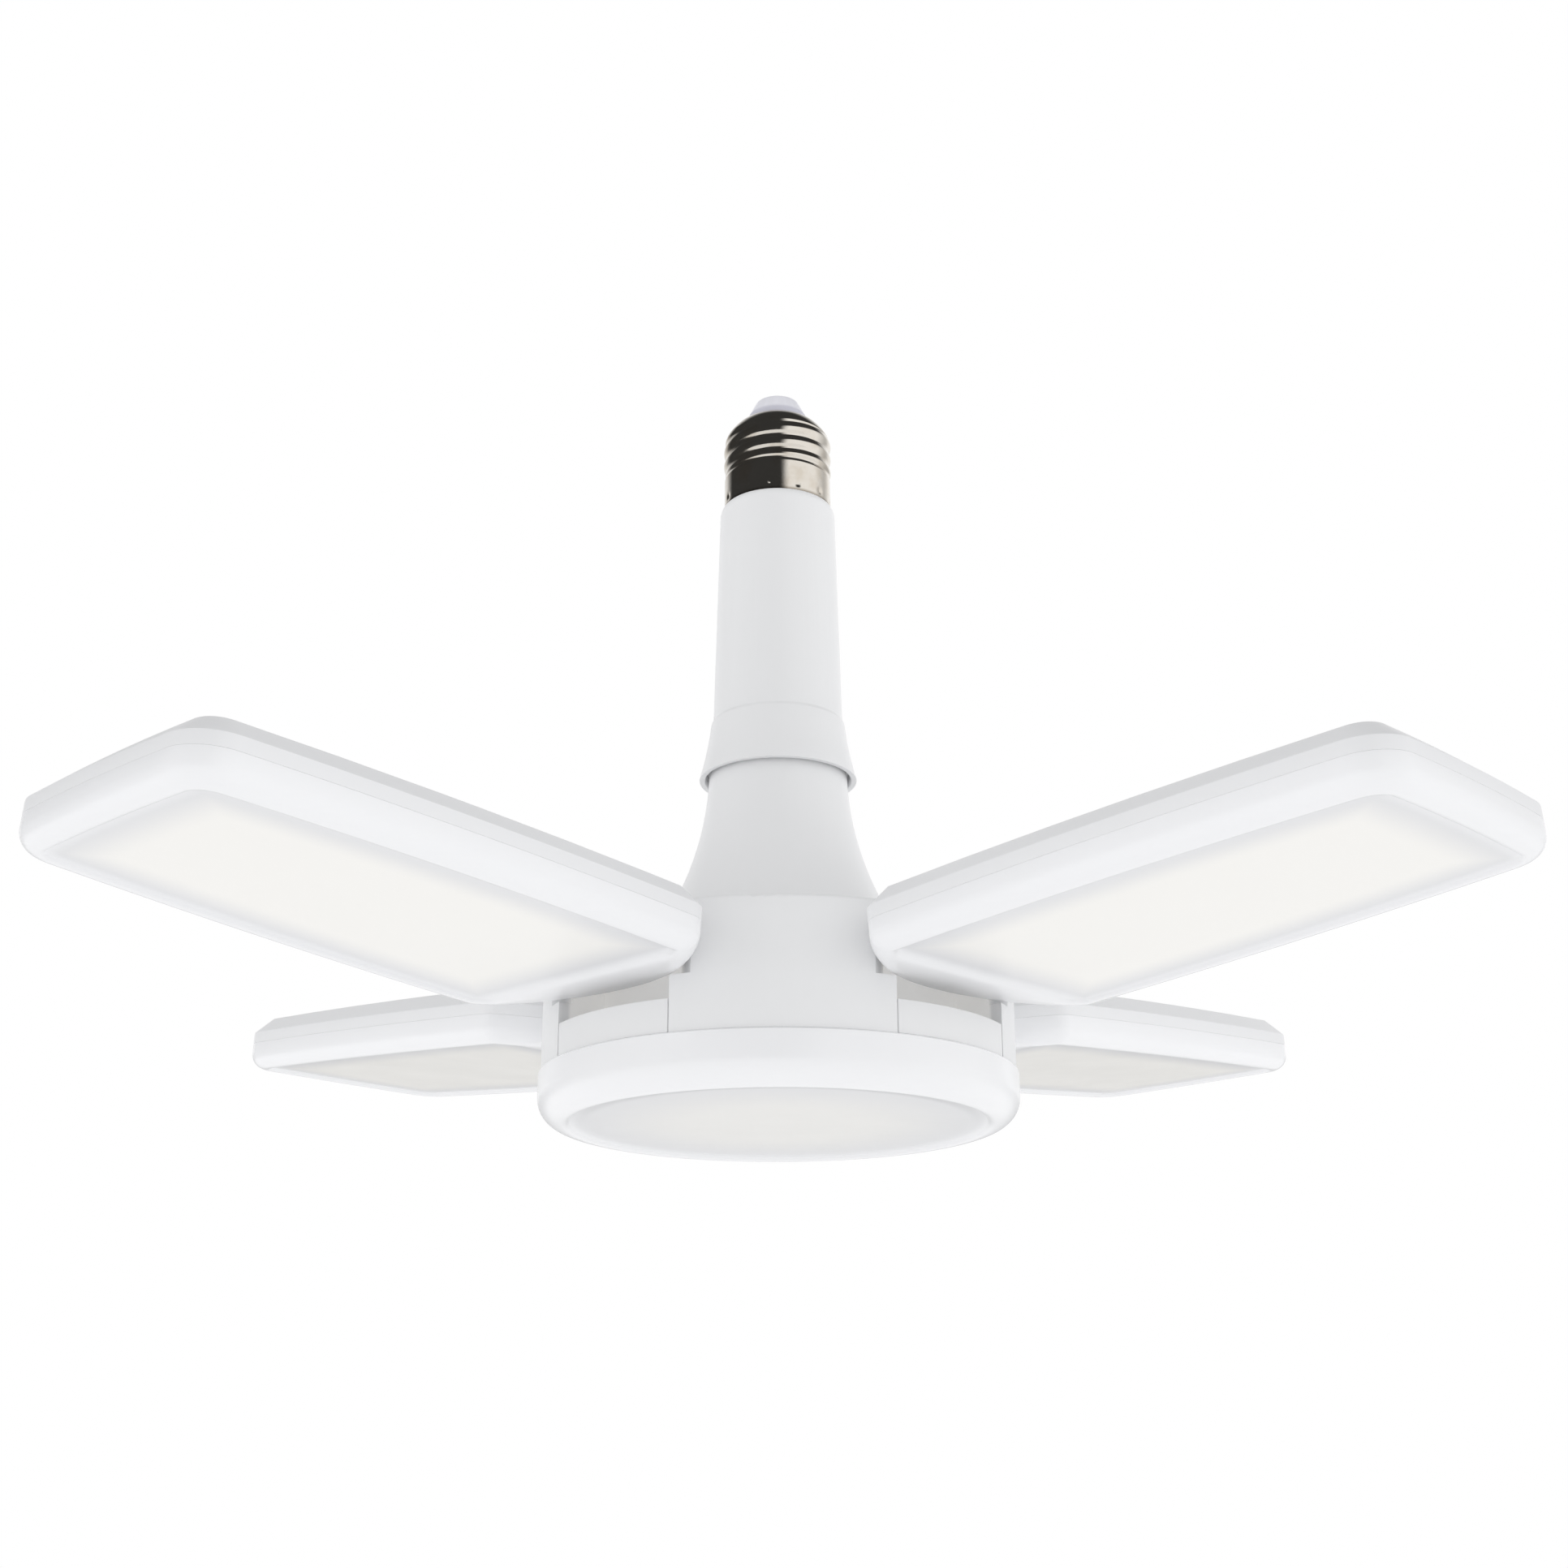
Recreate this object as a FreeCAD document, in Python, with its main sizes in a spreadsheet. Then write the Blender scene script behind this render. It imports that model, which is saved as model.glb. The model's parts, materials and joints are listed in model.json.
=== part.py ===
"""Deformable garage light: a screw-in ceiling light with four hinged lamp leaves.

Heights in the sheet are measured up from the bottom of the round centre lens.
The finished light has its origin on the axis at the cap seat, where the screw
shell meets the neck, so every piece is placed lower by that height.
"""
import FreeCAD, Part
import math
import os
from types import SimpleNamespace

import Sketcher

SIZES = [
    # screw cap, standard medium base
    ("cap_seat", 150.3), ("shell_radius", 12.9), ("band_height", 8.2), ("shell_wall", 0.4),
    ("thread_pitch", 3.63), ("thread_rise", 2.9), ("thread_root", 12.55), ("thread_arc", 2.19),
    ("thread_top", 169.3), ("shell_top", 175.2), ("shell_tip", 7.5), ("dome_arc", 9.5),
    ("cone_foot", 7.4), ("cone_tip", 5.2), ("cone_top", 179.5), ("cone_seat", 171.5),
    ("cone_flange", 9.0), ("flange_top", 174.0), ("contact_radius", 3.3), ("contact_flat", 2.6),
    ("contact_rise", 0.9), ("rivet_radius", 1.0),
    # gaps between pieces that fit together
    ("close_gap", 0.05), ("loose_gap", 0.3),
    # neck tube
    ("skirt_foot", 80.6), ("skirt_radius", 18.35), ("skirt_wall", 1.3), ("skirt_arc", 88.0),
    ("skirt_hollow", 16.4), ("step_height", 94.4), ("step_radius", 15.65), ("step_depth", 0.5),
    ("step_bevel", 0.6), ("tube_radius", 13.85), ("tube_wall", 2.1), ("tube_round", 2.5),
    ("round_arc", 3.25), ("seat_radius", 13.0), ("spigot_top", 157.0), ("spigot_radius", 12.45),
    ("spigot_wall", 2.0), ("ledge_foot", 82.8), ("ledge_top", 87.0), ("ledge_bore", 11.3),
    ("nut_room", 13.3),
    # swivel
    ("stub_radius", 11.0), ("stub_top", 94.0), ("wire_bore", 8.5), ("running_gap", 0.1),
    ("washer_thick", 0.8), ("washer_radius", 13.0), ("nut_thick", 4.0), ("nut_radius", 12.8),
    ("nut_notch", 0.9), ("notch_width", 3.0), ("stop_inner", 12.5), ("stop_outer", 14.2),
    ("stop_depth", 2.0), ("stop_sweep", 330.0), ("tab_width", 3.4),
    # hub
    ("drum_foot", 11.1), ("drum_radius", 52.6), ("drum_top", 38.9), ("drum_wall", 2.2),
    ("drum_round", 1.0), ("bell_arc", 75.0), ("bell_radius", 16.0), ("bell_level", 84.0),
    ("bell_top", 82.4), ("bell_round", 1.2), ("roof_height", 80.0), ("cavity_radius", 35.0),
    ("frame_seat", 12.7), ("bay_half", 17.1), ("bay_back", 37.0), ("pillar_wall", 2.6),
    ("scoop_foot", 23.0), ("scoop_gap", 0.6), ("boss_place", 30.4), ("boss_radius", 3.6),
    ("screw_radius", 1.45), ("screw_length", 12.5), ("head_radius", 2.8), ("head_height", 1.6),
    ("lead_hole", 1.5),
    # hinge
    ("hinge_radius", 51.0), ("hinge_height", 34.8), ("rest_tilt", 5.05), ("pin_radius", 1.6),
    ("pin_half", 14.6), ("lug_inner", 12.0), ("lug_outer", 14.8), ("lug_radius", 3.4),
    ("lug_foot", 30.0), ("lug_top", 38.4), ("knuckle_half", 11.2), ("knuckle_radius", 3.3),
    ("washer_rim", 3.1), ("notch_outer", 15.1), ("notch_reach", 3.9),
    # lower frame, centre lamp and lens
    ("frame_radius", 50.1), ("frame_thick", 1.5), ("frame_hole", 12.0), ("wall_half", 16.8),
    ("wall_top", 18.2), ("wall_thick", 2.0), ("post_place", 24.0), ("post_radius", 2.5),
    ("plate_radius", 48.5), ("plate_thick", 1.5), ("plate_hole", 3.0), ("lamp_radius", 39.5),
    ("board_thick", 1.6), ("lens_radius", 53.2), ("lens_rim", 11.0), ("lens_wall", 1.5),
    ("lens_round", 5.7),
    # driver
    ("driver_height", 20.0), ("driver_radius", 31.0), ("wire_radius", 0.9), ("wire_place", 3.0),
    # leaf, measured from the hinge pin: out along the leaf, across it, and up from it
    ("leaf_tip", -7.0), ("leaf_end", 119.1), ("leaf_half", 36.2), ("leaf_wide", 28.0),
    ("side_arc", 880.0), ("tip_arc", 52.0), ("end_arc", 500.0), ("tip_corner", 5.2),
    ("end_corner", 9.5), ("least_corner", 1.0), ("cover_top", 0.9), ("parting", -6.1),
    ("chamfer_rise", 4.4), ("chamfer_run", 4.2), ("lens_foot", -12.5), ("lens_edge", 4.0),
    ("bevel_start", 6.0), ("bevel_run", 14.0), ("bevel_rise", 2.2), ("bevel_block", 6.0),
    ("leaf_wall", 1.8), ("deep_inset", 5.6), ("block_reach", 13.0), ("roof_thick", 1.9),
    ("leaf_board", 1.2), ("board_inset", 2.3), ("duct_height", -4.5), ("duct_radius", 1.1),
    ("lead_radius", 0.8), ("lead_start", -5.5), ("stud_radius", 3.0), ("stud_near", 30.0),
    ("stud_far", 95.0), ("stud_side", 20.0), ("leaf_screw", 1.2), ("leaf_screw_head", 2.2),
    ("leaf_screw_long", 3.2),
    # light emitters
    ("chip_long", 3.0), ("chip_wide", 2.6), ("chip_high", 0.8), ("chip_start", 22.0),
    ("chip_run", 84.0), ("chip_side", 12.0), ("inner_ring", 14.0), ("outer_ring", 30.0),
]
LEAVES = {"back_right": 45, "back_left": 135, "front_left": 225, "front_right": 315}
BAYS = 4
QUARTER_TURN = 45
LEAF_CHIPS = 8
RING_CHIPS = (8, 16)
THREAD_RIDGES = 3
CUT_PAST = 1.0      # how far a cutting outline runs past the face that it cuts through

doc = FreeCAD.newDocument("GarageLight")
sheet = doc.addObject("Spreadsheet::Sheet", "Sizes")
for row, (alias, value) in enumerate(SIZES, start=1):
    sheet.set(f"A{row}", alias)
    sheet.set(f"B{row}", str(value))
    sheet.setAlias(f"B{row}", alias)
doc.recompute()


class Size(float):
    """A length or angle that keeps the sheet formula it comes from."""

    def __new__(cls, value, formula):
        made = super().__new__(cls, value)
        made.formula = formula
        return made

    def __add__(self, other):
        return Size(float(self) + float(other), f"({self.formula} + {formula_of(other)})")

    def __radd__(self, other):
        return self + other

    def __sub__(self, other):
        return Size(float(self) - float(other), f"({self.formula} - {formula_of(other)})")

    def __rsub__(self, other):
        return Size(float(other) - float(self), f"({formula_of(other)} - {self.formula})")

    def __mul__(self, other):
        return Size(float(self) * float(other), f"({self.formula} * {formula_of(other)})")

    def __rmul__(self, other):
        return self * other

    def __truediv__(self, other):
        return Size(float(self) / float(other), f"({self.formula} / {formula_of(other)})")

    def __neg__(self):
        return Size(-float(self), f"(0 - {self.formula})")


def formula_of(value):
    if isinstance(value, Size):
        return value.formula
    return f"({float(value)!r})"


def leg(long_side, short_side):
    """The other leg of a right triangle: how far an arc's point lies from its centre line."""
    value = math.sqrt(float(long_side) ** 2 - float(short_side) ** 2)
    return Size(value, f"sqrt({formula_of(long_side)} ^ 2 - {formula_of(short_side)} ^ 2)")


d = SimpleNamespace(**{name: Size(sheet.get(name), f"Sizes.{name}") for name, _ in SIZES})


# ---------------------------------------------------------------- sketches

def new_body(name, loose=False):
    body = doc.addObject("PartDesign::Body", name)
    body.Label = name
    body.AllowCompound = loose
    return body


def new_sketch(body, plane, name, offset=0.0):
    """A sketch on one of the body's own origin planes, moved along the plane's normal."""
    sketch = body.newObject("Sketcher::SketchObject", f"{body.Name}_{name}")
    origin_plane = next(f for f in body.Origin.OriginFeatures if f.Role == plane)
    sketch.AttachmentSupport = [(origin_plane, "")]
    sketch.MapMode = "FlatFace"
    sketch.AttachmentOffset = FreeCAD.Placement(FreeCAD.Vector(0, 0, float(offset)), FreeCAD.Rotation())
    if isinstance(offset, Size):
        sketch.setExpression("AttachmentOffset.Base.z", offset.formula)
    return sketch


def fix(sketch, kind, *where, value):
    """A dimension on the sketch, bound to the sheet where the value comes from it."""
    index = sketch.addConstraint(Sketcher.Constraint(kind, *where, float(value)))
    if isinstance(value, Size):
        sketch.setExpression(f"Constraints[{index}]", value.formula)


def fix_point(sketch, edge, end, x, y):
    for kind, axis, value in (("DistanceX", -2, x), ("DistanceY", -1, y)):
        if float(value) == 0.0:
            sketch.addConstraint(Sketcher.Constraint("PointOnObject", edge, end, axis))
        else:
            fix(sketch, kind, edge, end, value=value)


def arc_between(start, end, radius):
    """Arc from start to end; a positive radius turns left, a negative one turns right."""
    ax, ay = float(start[0]), float(start[1])
    bx, by = float(end[0]), float(end[1])
    half = math.hypot(bx - ax, by - ay) / 2
    height = math.sqrt(max(float(radius) ** 2 - half ** 2, 0.0))
    side = 1.0 if radius > 0 else -1.0
    centre = FreeCAD.Vector((ax + bx) / 2 - side * height * (by - ay) / (2 * half),
                            (ay + by) / 2 + side * height * (bx - ax) / (2 * half), 0)
    first = math.atan2(ay - centre.y, ax - centre.x)
    last = math.atan2(by - centre.y, bx - centre.x)
    if side < 0:
        first, last = last, first
    circle = Part.Circle(centre, FreeCAD.Vector(0, 0, 1), abs(float(radius)))
    return Part.ArcOfCircle(circle, first, last)


def closed_outline(sketch, corners):
    """Closed outline through the corners; a third number is the radius of the arc that arrives there."""
    ends = []
    for index, corner in enumerate(corners):
        start = corners[index - 1]
        if len(corner) == 3:
            edge = sketch.addGeometry(arc_between(start, corner, corner[2]), False)
            ends.append((edge, 1, 2) if corner[2] > 0 else (edge, 2, 1))
        else:
            line = Part.LineSegment(FreeCAD.Vector(float(start[0]), float(start[1]), 0),
                                    FreeCAD.Vector(float(corner[0]), float(corner[1]), 0))
            ends.append((sketch.addGeometry(line, False), 1, 2))
    for index, (edge, first, last) in enumerate(ends):
        following, next_first, _ = ends[(index + 1) % len(ends)]
        sketch.addConstraint(Sketcher.Constraint("Coincident", edge, last, following, next_first))
    for (edge, first, last), corner in zip(ends, corners):
        fix_point(sketch, edge, last, corner[0], corner[1])
        if len(corner) == 3:
            radius = corner[2] if corner[2] > 0 else -corner[2]
            fix(sketch, "Radius", edge, value=radius)
    return sketch


def rectangle(sketch, left, right, low, high):
    return closed_outline(sketch, [(left, low), (right, low), (right, high), (left, high)])


def disc(sketch, x, y, radius):
    circle = Part.Circle(FreeCAD.Vector(float(x), float(y), 0), FreeCAD.Vector(0, 0, 1), float(radius))
    edge = sketch.addGeometry(circle, False)
    fix_point(sketch, edge, 3, x, y)
    fix(sketch, "Radius", edge, value=radius)
    return sketch


# ---------------------------------------------------------------- features

def set_size(feature, name, value):
    setattr(feature, name, float(value))
    if isinstance(value, Size):
        feature.setExpression(name, value.formula)


def solid_step(body, kind, sketch, length, up=True, both_ways=False):
    """A pad or pocket of the sketch; up means along the sketch plane's normal."""
    step = body.newObject(f"PartDesign::{kind}", f"{sketch.Name}_{kind}")
    step.Profile = sketch
    set_size(step, "Length", length)
    step.Reversed = up if kind == "Pocket" else not up
    if both_ways:
        step.SideType = "Symmetric"
    doc.recompute()
    return step


def pad(body, sketch, length, **how):
    return solid_step(body, "Pad", sketch, length, **how)


def pocket(body, sketch, length, **how):
    """Cuts the sketch out of the body and makes sure that something was cut."""
    before = body.Shape.Volume
    step = solid_step(body, "Pocket", sketch, length, **how)
    if body.Shape.Volume >= before:
        raise RuntimeError(f"{sketch.Name} cut nothing")
    return step


def turned(body, sketch, kind="Revolution", angle=360.0):
    step = body.newObject(f"PartDesign::{kind}", f"{sketch.Name}_{kind}")
    step.Profile = sketch
    step.ReferenceAxis = (sketch, ["V_Axis"])
    set_size(step, "Angle", angle)
    step.Midplane = float(angle) < 360.0
    doc.recompute()
    return step


def around(body, steps, count=BAYS):
    """Repeats the steps about the body's own vertical axis."""
    pattern = body.newObject("PartDesign::PolarPattern", f"{steps[-1].Name}_around")
    pattern.Originals = steps
    axis = next(f for f in body.Origin.OriginFeatures if f.Role == "Z_Axis")
    pattern.Axis = (axis, [""])
    pattern.Angle = 360.0
    pattern.Occurrences = count
    body.Tip = pattern
    doc.recompute()
    return pattern


def edges_at(shape, height):
    """Names of the edges that lie level at this height."""
    names = []
    for index, edge in enumerate(shape.Edges, start=1):
        box = edge.BoundBox
        if abs(box.ZMin - float(height)) < 1e-4 and abs(box.ZMax - float(height)) < 1e-4:
            names.append(f"Edge{index}")
    return names


def place(body, turn=0.0):
    """Stands a piece of the neck or hub in the light's own frame."""
    body.Placement = FreeCAD.Placement(FreeCAD.Vector(0, 0, -float(d.cap_seat)),
                                       FreeCAD.Rotation(turn, 0, 0))
    body.setExpression("Placement.Base.z", (-d.cap_seat).formula)
    return body


def place_at_hinge(body, azimuth, tilt=0.0):
    """Puts a piece at its hinge pin, pointing outwards and raised by the tilt."""
    reach = math.radians(azimuth)
    base = FreeCAD.Vector(float(d.hinge_radius) * math.cos(reach), float(d.hinge_radius) * math.sin(reach),
                          float(d.hinge_height - d.cap_seat))
    body.Placement = FreeCAD.Placement(base, FreeCAD.Rotation(azimuth, -float(tilt), 0))
    body.setExpression("Placement.Base.x", f"{d.hinge_radius.formula} * cos({azimuth} deg)")
    body.setExpression("Placement.Base.y", f"{d.hinge_radius.formula} * sin({azimuth} deg)")
    body.setExpression("Placement.Base.z", (d.hinge_height - d.cap_seat).formula)
    return body


# ---------------------------------------------------------------- cap and neck

def screw_shell():
    """Rolled metal shell: plain band, rounded ridges, dome, all of one wall."""
    body = new_body("screw_shell")
    band_top = d.cap_seat + d.band_height
    inside = d.spigot_radius + d.close_gap
    upper_inside = d.thread_root - d.shell_wall
    inner_step = d.spigot_top + d.loose_gap
    corners = [(inside, d.cap_seat), (d.shell_radius, d.cap_seat), (d.shell_radius, band_top)]
    for ridge in range(THREAD_RIDGES):
        foot = band_top + d.close_gap + d.thread_pitch * ridge
        corners.append((d.thread_root, foot))
        corners.append((d.thread_root, foot + d.thread_rise, d.thread_arc))
    corners += [(d.thread_root, d.thread_top), (d.shell_tip, d.shell_top, d.dome_arc),
                (d.shell_tip, d.shell_top - d.shell_wall),
                (upper_inside, d.thread_top, -d.dome_arc),
                (upper_inside, inner_step), (inside, inner_step)]
    turned(body, closed_outline(new_sketch(body, "XZ_Plane", "profile"), corners))
    return place(body)


def cap_insulator():
    """Cone that stands out of the shell, held in it by a flange."""
    body = new_body("cap_insulator")
    bore = d.rivet_radius + d.close_gap
    corners = [(bore, d.cone_seat), (d.cone_flange, d.cone_seat), (d.cone_foot, d.flange_top),
               (d.cone_foot, d.shell_top), (d.cone_tip, d.cone_top), (bore, d.cone_top)]
    turned(body, closed_outline(new_sketch(body, "XZ_Plane", "profile"), corners))
    return place(body)


def centre_contact():
    """Rivet through the insulator, with a low flat-topped dome."""
    body = new_body("centre_contact")
    top = d.cone_top + d.contact_rise
    corners = [(0.0, d.cone_seat), (d.rivet_radius, d.cone_seat), (d.rivet_radius, d.cone_top),
               (d.contact_radius, d.cone_top), (d.contact_flat, top), (0.0, top)]
    turned(body, closed_outline(new_sketch(body, "XZ_Plane", "profile"), corners))
    return place(body)


def neck_tube():
    """Tapered tube with a flared skirt, an inner ledge to hang on, and a spigot for the shell."""
    body = new_body("neck_tube")
    step_top = d.step_height + d.step_bevel
    round_foot = d.cap_seat - d.tube_round
    bore = d.spigot_radius - d.spigot_wall
    tube_inside = d.tube_radius - d.tube_wall
    skirt_inside = d.skirt_radius - d.skirt_wall
    corners = [
        (skirt_inside, d.skirt_foot), (d.skirt_radius, d.skirt_foot),
        (d.step_radius, d.step_height, -d.skirt_arc), (d.step_radius - d.step_depth, step_top),
        (d.tube_radius, round_foot), (d.seat_radius, d.cap_seat, d.round_arc),
        (d.spigot_radius, d.cap_seat), (d.spigot_radius, d.spigot_top), (bore, d.spigot_top),
        (bore, d.cap_seat), (tube_inside, round_foot), (d.nut_room, d.step_height),
        (d.nut_room, d.ledge_top), (d.ledge_bore, d.ledge_top), (d.ledge_bore, d.ledge_foot),
        (d.skirt_hollow, d.ledge_foot),
    ]
    turned(body, closed_outline(new_sketch(body, "XZ_Plane", "profile"), corners))
    tab = new_sketch(body, "XY_Plane", "stop_tab", d.ledge_foot - d.stop_depth + d.loose_gap)
    rectangle(tab, d.stop_inner + d.loose_gap, d.stop_outer - d.loose_gap, -d.tab_width / 2,
              d.tab_width / 2)
    pad(body, tab, d.stop_depth)
    return place(body, QUARTER_TURN)


def straight_wires(name, foot, top, turn):
    body = new_body(name, loose=True)
    for side, sign in (("left", -1), ("right", 1)):
        sketch = new_sketch(body, "XY_Plane", side, foot)
        disc(sketch, d.wire_place * sign, 0.0, d.wire_radius)
        pad(body, sketch, top - foot)
    return place(body, turn)


# ---------------------------------------------------------------- hub

def hub_profile():
    """Drum wall, shoulder, bell and swivel stub, with the hollow inside them."""
    wide_arc = d.bell_arc + d.drum_wall
    centre = d.bell_radius + d.bell_arc
    roof = d.drum_top - d.drum_wall
    round_foot = d.bell_top - d.bell_round
    round_radius = centre - leg(d.bell_arc, d.bell_level - round_foot)
    skin = d.drum_radius - d.drum_wall
    return [
        (skin, d.drum_foot), (d.drum_radius, d.drum_foot), (d.drum_radius, d.drum_top - d.drum_round),
        (d.drum_radius - d.drum_round, d.drum_top, d.drum_round),
        (centre - leg(d.bell_arc, d.bell_level - d.drum_top), d.drum_top),
        (round_radius, round_foot, -d.bell_arc),
        (round_radius - d.bell_round, d.bell_top, d.bell_round),
        (d.stub_radius, d.bell_top), (d.stub_radius, d.stub_top), (d.wire_bore, d.stub_top),
        (d.wire_bore, d.roof_height),
        (centre - leg(wide_arc, d.bell_level - d.roof_height), d.roof_height),
        (centre - leg(wide_arc, d.bell_level - roof), roof, wide_arc),
        (d.cavity_radius, roof), (d.cavity_radius, d.frame_seat), (skin, d.frame_seat),
    ]


def hub_body():
    """Bell and drum in one moulding, with four hollow pillars, four bays and their hinge lugs."""
    body = new_body("hub_body")
    turned(body, closed_outline(new_sketch(body, "XZ_Plane", "profile"), hub_profile()))

    stop = new_sketch(body, "XZ_Plane", "stop_groove")
    rectangle(stop, d.stop_inner, d.stop_outer, d.bell_top - d.stop_depth, d.bell_top)
    turned(body, stop, "Groove", d.stop_sweep)

    roof = d.drum_top - d.drum_wall
    wall_line = d.bay_half + d.pillar_wall
    pocket_radius = d.drum_radius - d.pillar_wall
    arc_end = leg(pocket_radius, wall_line)
    hollow = new_sketch(body, "XY_Plane", "pillar_hollow", d.frame_seat)
    closed_outline(hollow, [(wall_line, wall_line), (arc_end, wall_line),
                            (wall_line, arc_end, pocket_radius)])
    hollow_cut = pocket(body, hollow, roof - d.frame_seat)
    boss = disc(new_sketch(body, "XY_Plane", "boss", d.frame_seat), d.boss_place, d.boss_place,
                d.boss_radius)
    boss_pad = pad(body, boss, roof - d.frame_seat)
    hole = disc(new_sketch(body, "XY_Plane", "boss_hole", d.frame_seat), d.boss_place, d.boss_place,
                d.screw_radius + d.close_gap)
    hole_cut = pocket(body, hole, d.screw_length)

    over = d.drum_top + CUT_PAST
    bay = new_sketch(body, "XY_Plane", "bay", over)
    rectangle(bay, d.bay_back, d.drum_radius + CUT_PAST, -d.bay_half, d.bay_half)
    bay_cut = pocket(body, bay, over - d.drum_foot + CUT_PAST, up=False)
    scoop = new_sketch(body, "XY_Plane", "leaf_scoop", over)
    disc(scoop, d.hinge_radius + d.leaf_tip + d.tip_arc, 0.0, d.tip_arc + d.scoop_gap)
    scoop_cut = pocket(body, scoop, over - d.scoop_foot, up=False)
    lead_hole = disc(new_sketch(body, "YZ_Plane", "lead_hole", d.cavity_radius - CUT_PAST), 0.0,
                     d.hinge_height + d.duct_height, d.lead_hole)
    lead_cut = pocket(body, lead_hole, d.bay_back - d.cavity_radius + CUT_PAST * 2)
    around(body, [hollow_cut, boss_pad, hole_cut, bay_cut, scoop_cut, lead_cut])

    lug = new_sketch(body, "XZ_Plane", "lug")
    back = d.bay_back - d.drum_wall / 2
    closed_outline(lug, [(back, d.lug_foot), (d.hinge_radius, d.hinge_height - d.lug_radius),
                         (d.hinge_radius, d.hinge_height + d.lug_radius, d.lug_radius),
                         (back, d.lug_top)])
    lug_pad = pad(body, lug, d.lug_outer * 2, both_ways=True)
    slot = new_sketch(body, "XZ_Plane", "lug_slot")
    rectangle(slot, d.bay_back, d.drum_radius + d.lug_radius, d.lug_foot - CUT_PAST,
              d.lug_top + CUT_PAST)
    slot_cut = pocket(body, slot, d.lug_inner * 2, both_ways=True)
    bore = disc(new_sketch(body, "XZ_Plane", "pin_bore"), d.hinge_radius, d.hinge_height,
                d.pin_radius + d.close_gap)
    bore_cut = pocket(body, bore, (d.lug_outer + CUT_PAST) * 2, both_ways=True)
    around(body, [lug_pad, slot_cut, bore_cut])
    return place(body, QUARTER_TURN)


def swivel_ring(name, foot, thick, radius, flats=0):
    """Flat ring on the swivel stub; the nut has flats for a spanner."""
    body = new_body(name)
    sketch = new_sketch(body, "XY_Plane", "ring", foot)
    disc(sketch, 0.0, 0.0, radius)
    disc(sketch, 0.0, 0.0, d.stub_radius + d.close_gap)
    pad(body, sketch, thick)
    if flats:
        notch = new_sketch(body, "XY_Plane", "notch", foot + thick)
        rectangle(notch, radius - d.nut_notch, radius + CUT_PAST, -d.notch_width / 2,
                  d.notch_width / 2)
        cut = pocket(body, notch, thick / 2, up=False)
        around(body, [cut], flats)
    return place(body, QUARTER_TURN)


def hinge_pin(name, azimuth):
    body = new_body(name)
    pad(body, disc(new_sketch(body, "XZ_Plane", "section"), 0.0, 0.0, d.pin_radius), d.pin_half * 2,
        both_ways=True)
    return place_at_hinge(body, azimuth)


def hinge_washers():
    """Two thin friction washers at each hinge, between the knuckle and the lugs."""
    body = new_body("hinge_washers", loose=True)
    steps = []
    thick = d.lug_inner - d.knuckle_half - d.close_gap * 2
    for side, start in (("near", d.knuckle_half + d.close_gap), ("far", d.close_gap - d.lug_inner)):
        sketch = new_sketch(body, "XZ_Plane", side, -start - thick)
        disc(sketch, d.hinge_radius, d.hinge_height, d.washer_rim)
        disc(sketch, d.hinge_radius, d.hinge_height, d.pin_radius + d.close_gap)
        steps.append(pad(body, sketch, thick))
    around(body, steps)
    return place(body, QUARTER_TURN)


# ---------------------------------------------------------------- drum floor and centre lamp

def bay_sector(sketch, half, inner, outer):
    """The part of a ring between two radii that is as wide as a bay."""
    near, far = leg(inner, half), leg(outer, half)
    return closed_outline(sketch, [(far, -half), (far, half, outer), (near, half),
                                   (near, -half, -inner)])


def lower_frame():
    """Floor of the drum, with the low wall that closes each bay and posts for the driver board."""
    body = new_body("lower_frame")
    plate = new_sketch(body, "XY_Plane", "plate", d.drum_foot)
    disc(plate, 0.0, 0.0, d.frame_radius)
    disc(plate, 0.0, 0.0, d.frame_hole)
    pad(body, plate, d.frame_thick)
    floor_sketch = new_sketch(body, "XY_Plane", "bay_floor", d.drum_foot)
    floor_end = leg(d.drum_radius, d.wall_half)
    closed_outline(floor_sketch, [(d.bay_back, -d.wall_half), (floor_end, -d.wall_half),
                                  (floor_end, d.wall_half, d.drum_radius),
                                  (d.bay_back, d.wall_half)])
    bay_floor = pad(body, floor_sketch, d.frame_thick)
    wall = bay_sector(new_sketch(body, "XY_Plane", "bay_wall", d.drum_foot), d.wall_half,
                      d.drum_radius - d.wall_thick, d.drum_radius)
    bay_wall = pad(body, wall, d.wall_top - d.drum_foot)
    post = disc(new_sketch(body, "XY_Plane", "post", d.drum_foot), d.post_place, 0.0, d.post_radius)
    post_pad = pad(body, post, d.driver_height - d.drum_foot)
    hole = disc(new_sketch(body, "XY_Plane", "screw_hole", d.drum_foot), d.boss_place, d.boss_place,
                d.screw_radius + d.close_gap)
    hole_cut = pocket(body, hole, d.frame_thick)
    around(body, [bay_floor, bay_wall, post_pad, hole_cut])
    return place(body, QUARTER_TURN)


def round_plate(name, foot, thick, radius, screw_holes):
    body = new_body(name)
    sketch = new_sketch(body, "XY_Plane", "plate", foot)
    disc(sketch, 0.0, 0.0, radius)
    disc(sketch, 0.0, 0.0, d.plate_hole)
    pad(body, sketch, thick)
    if screw_holes:
        hole = disc(new_sketch(body, "XY_Plane", "screw_hole", foot), d.boss_place, d.boss_place,
                    d.screw_radius + d.close_gap)
        around(body, [pocket(body, hole, thick)])
    return place(body, QUARTER_TURN)


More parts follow.
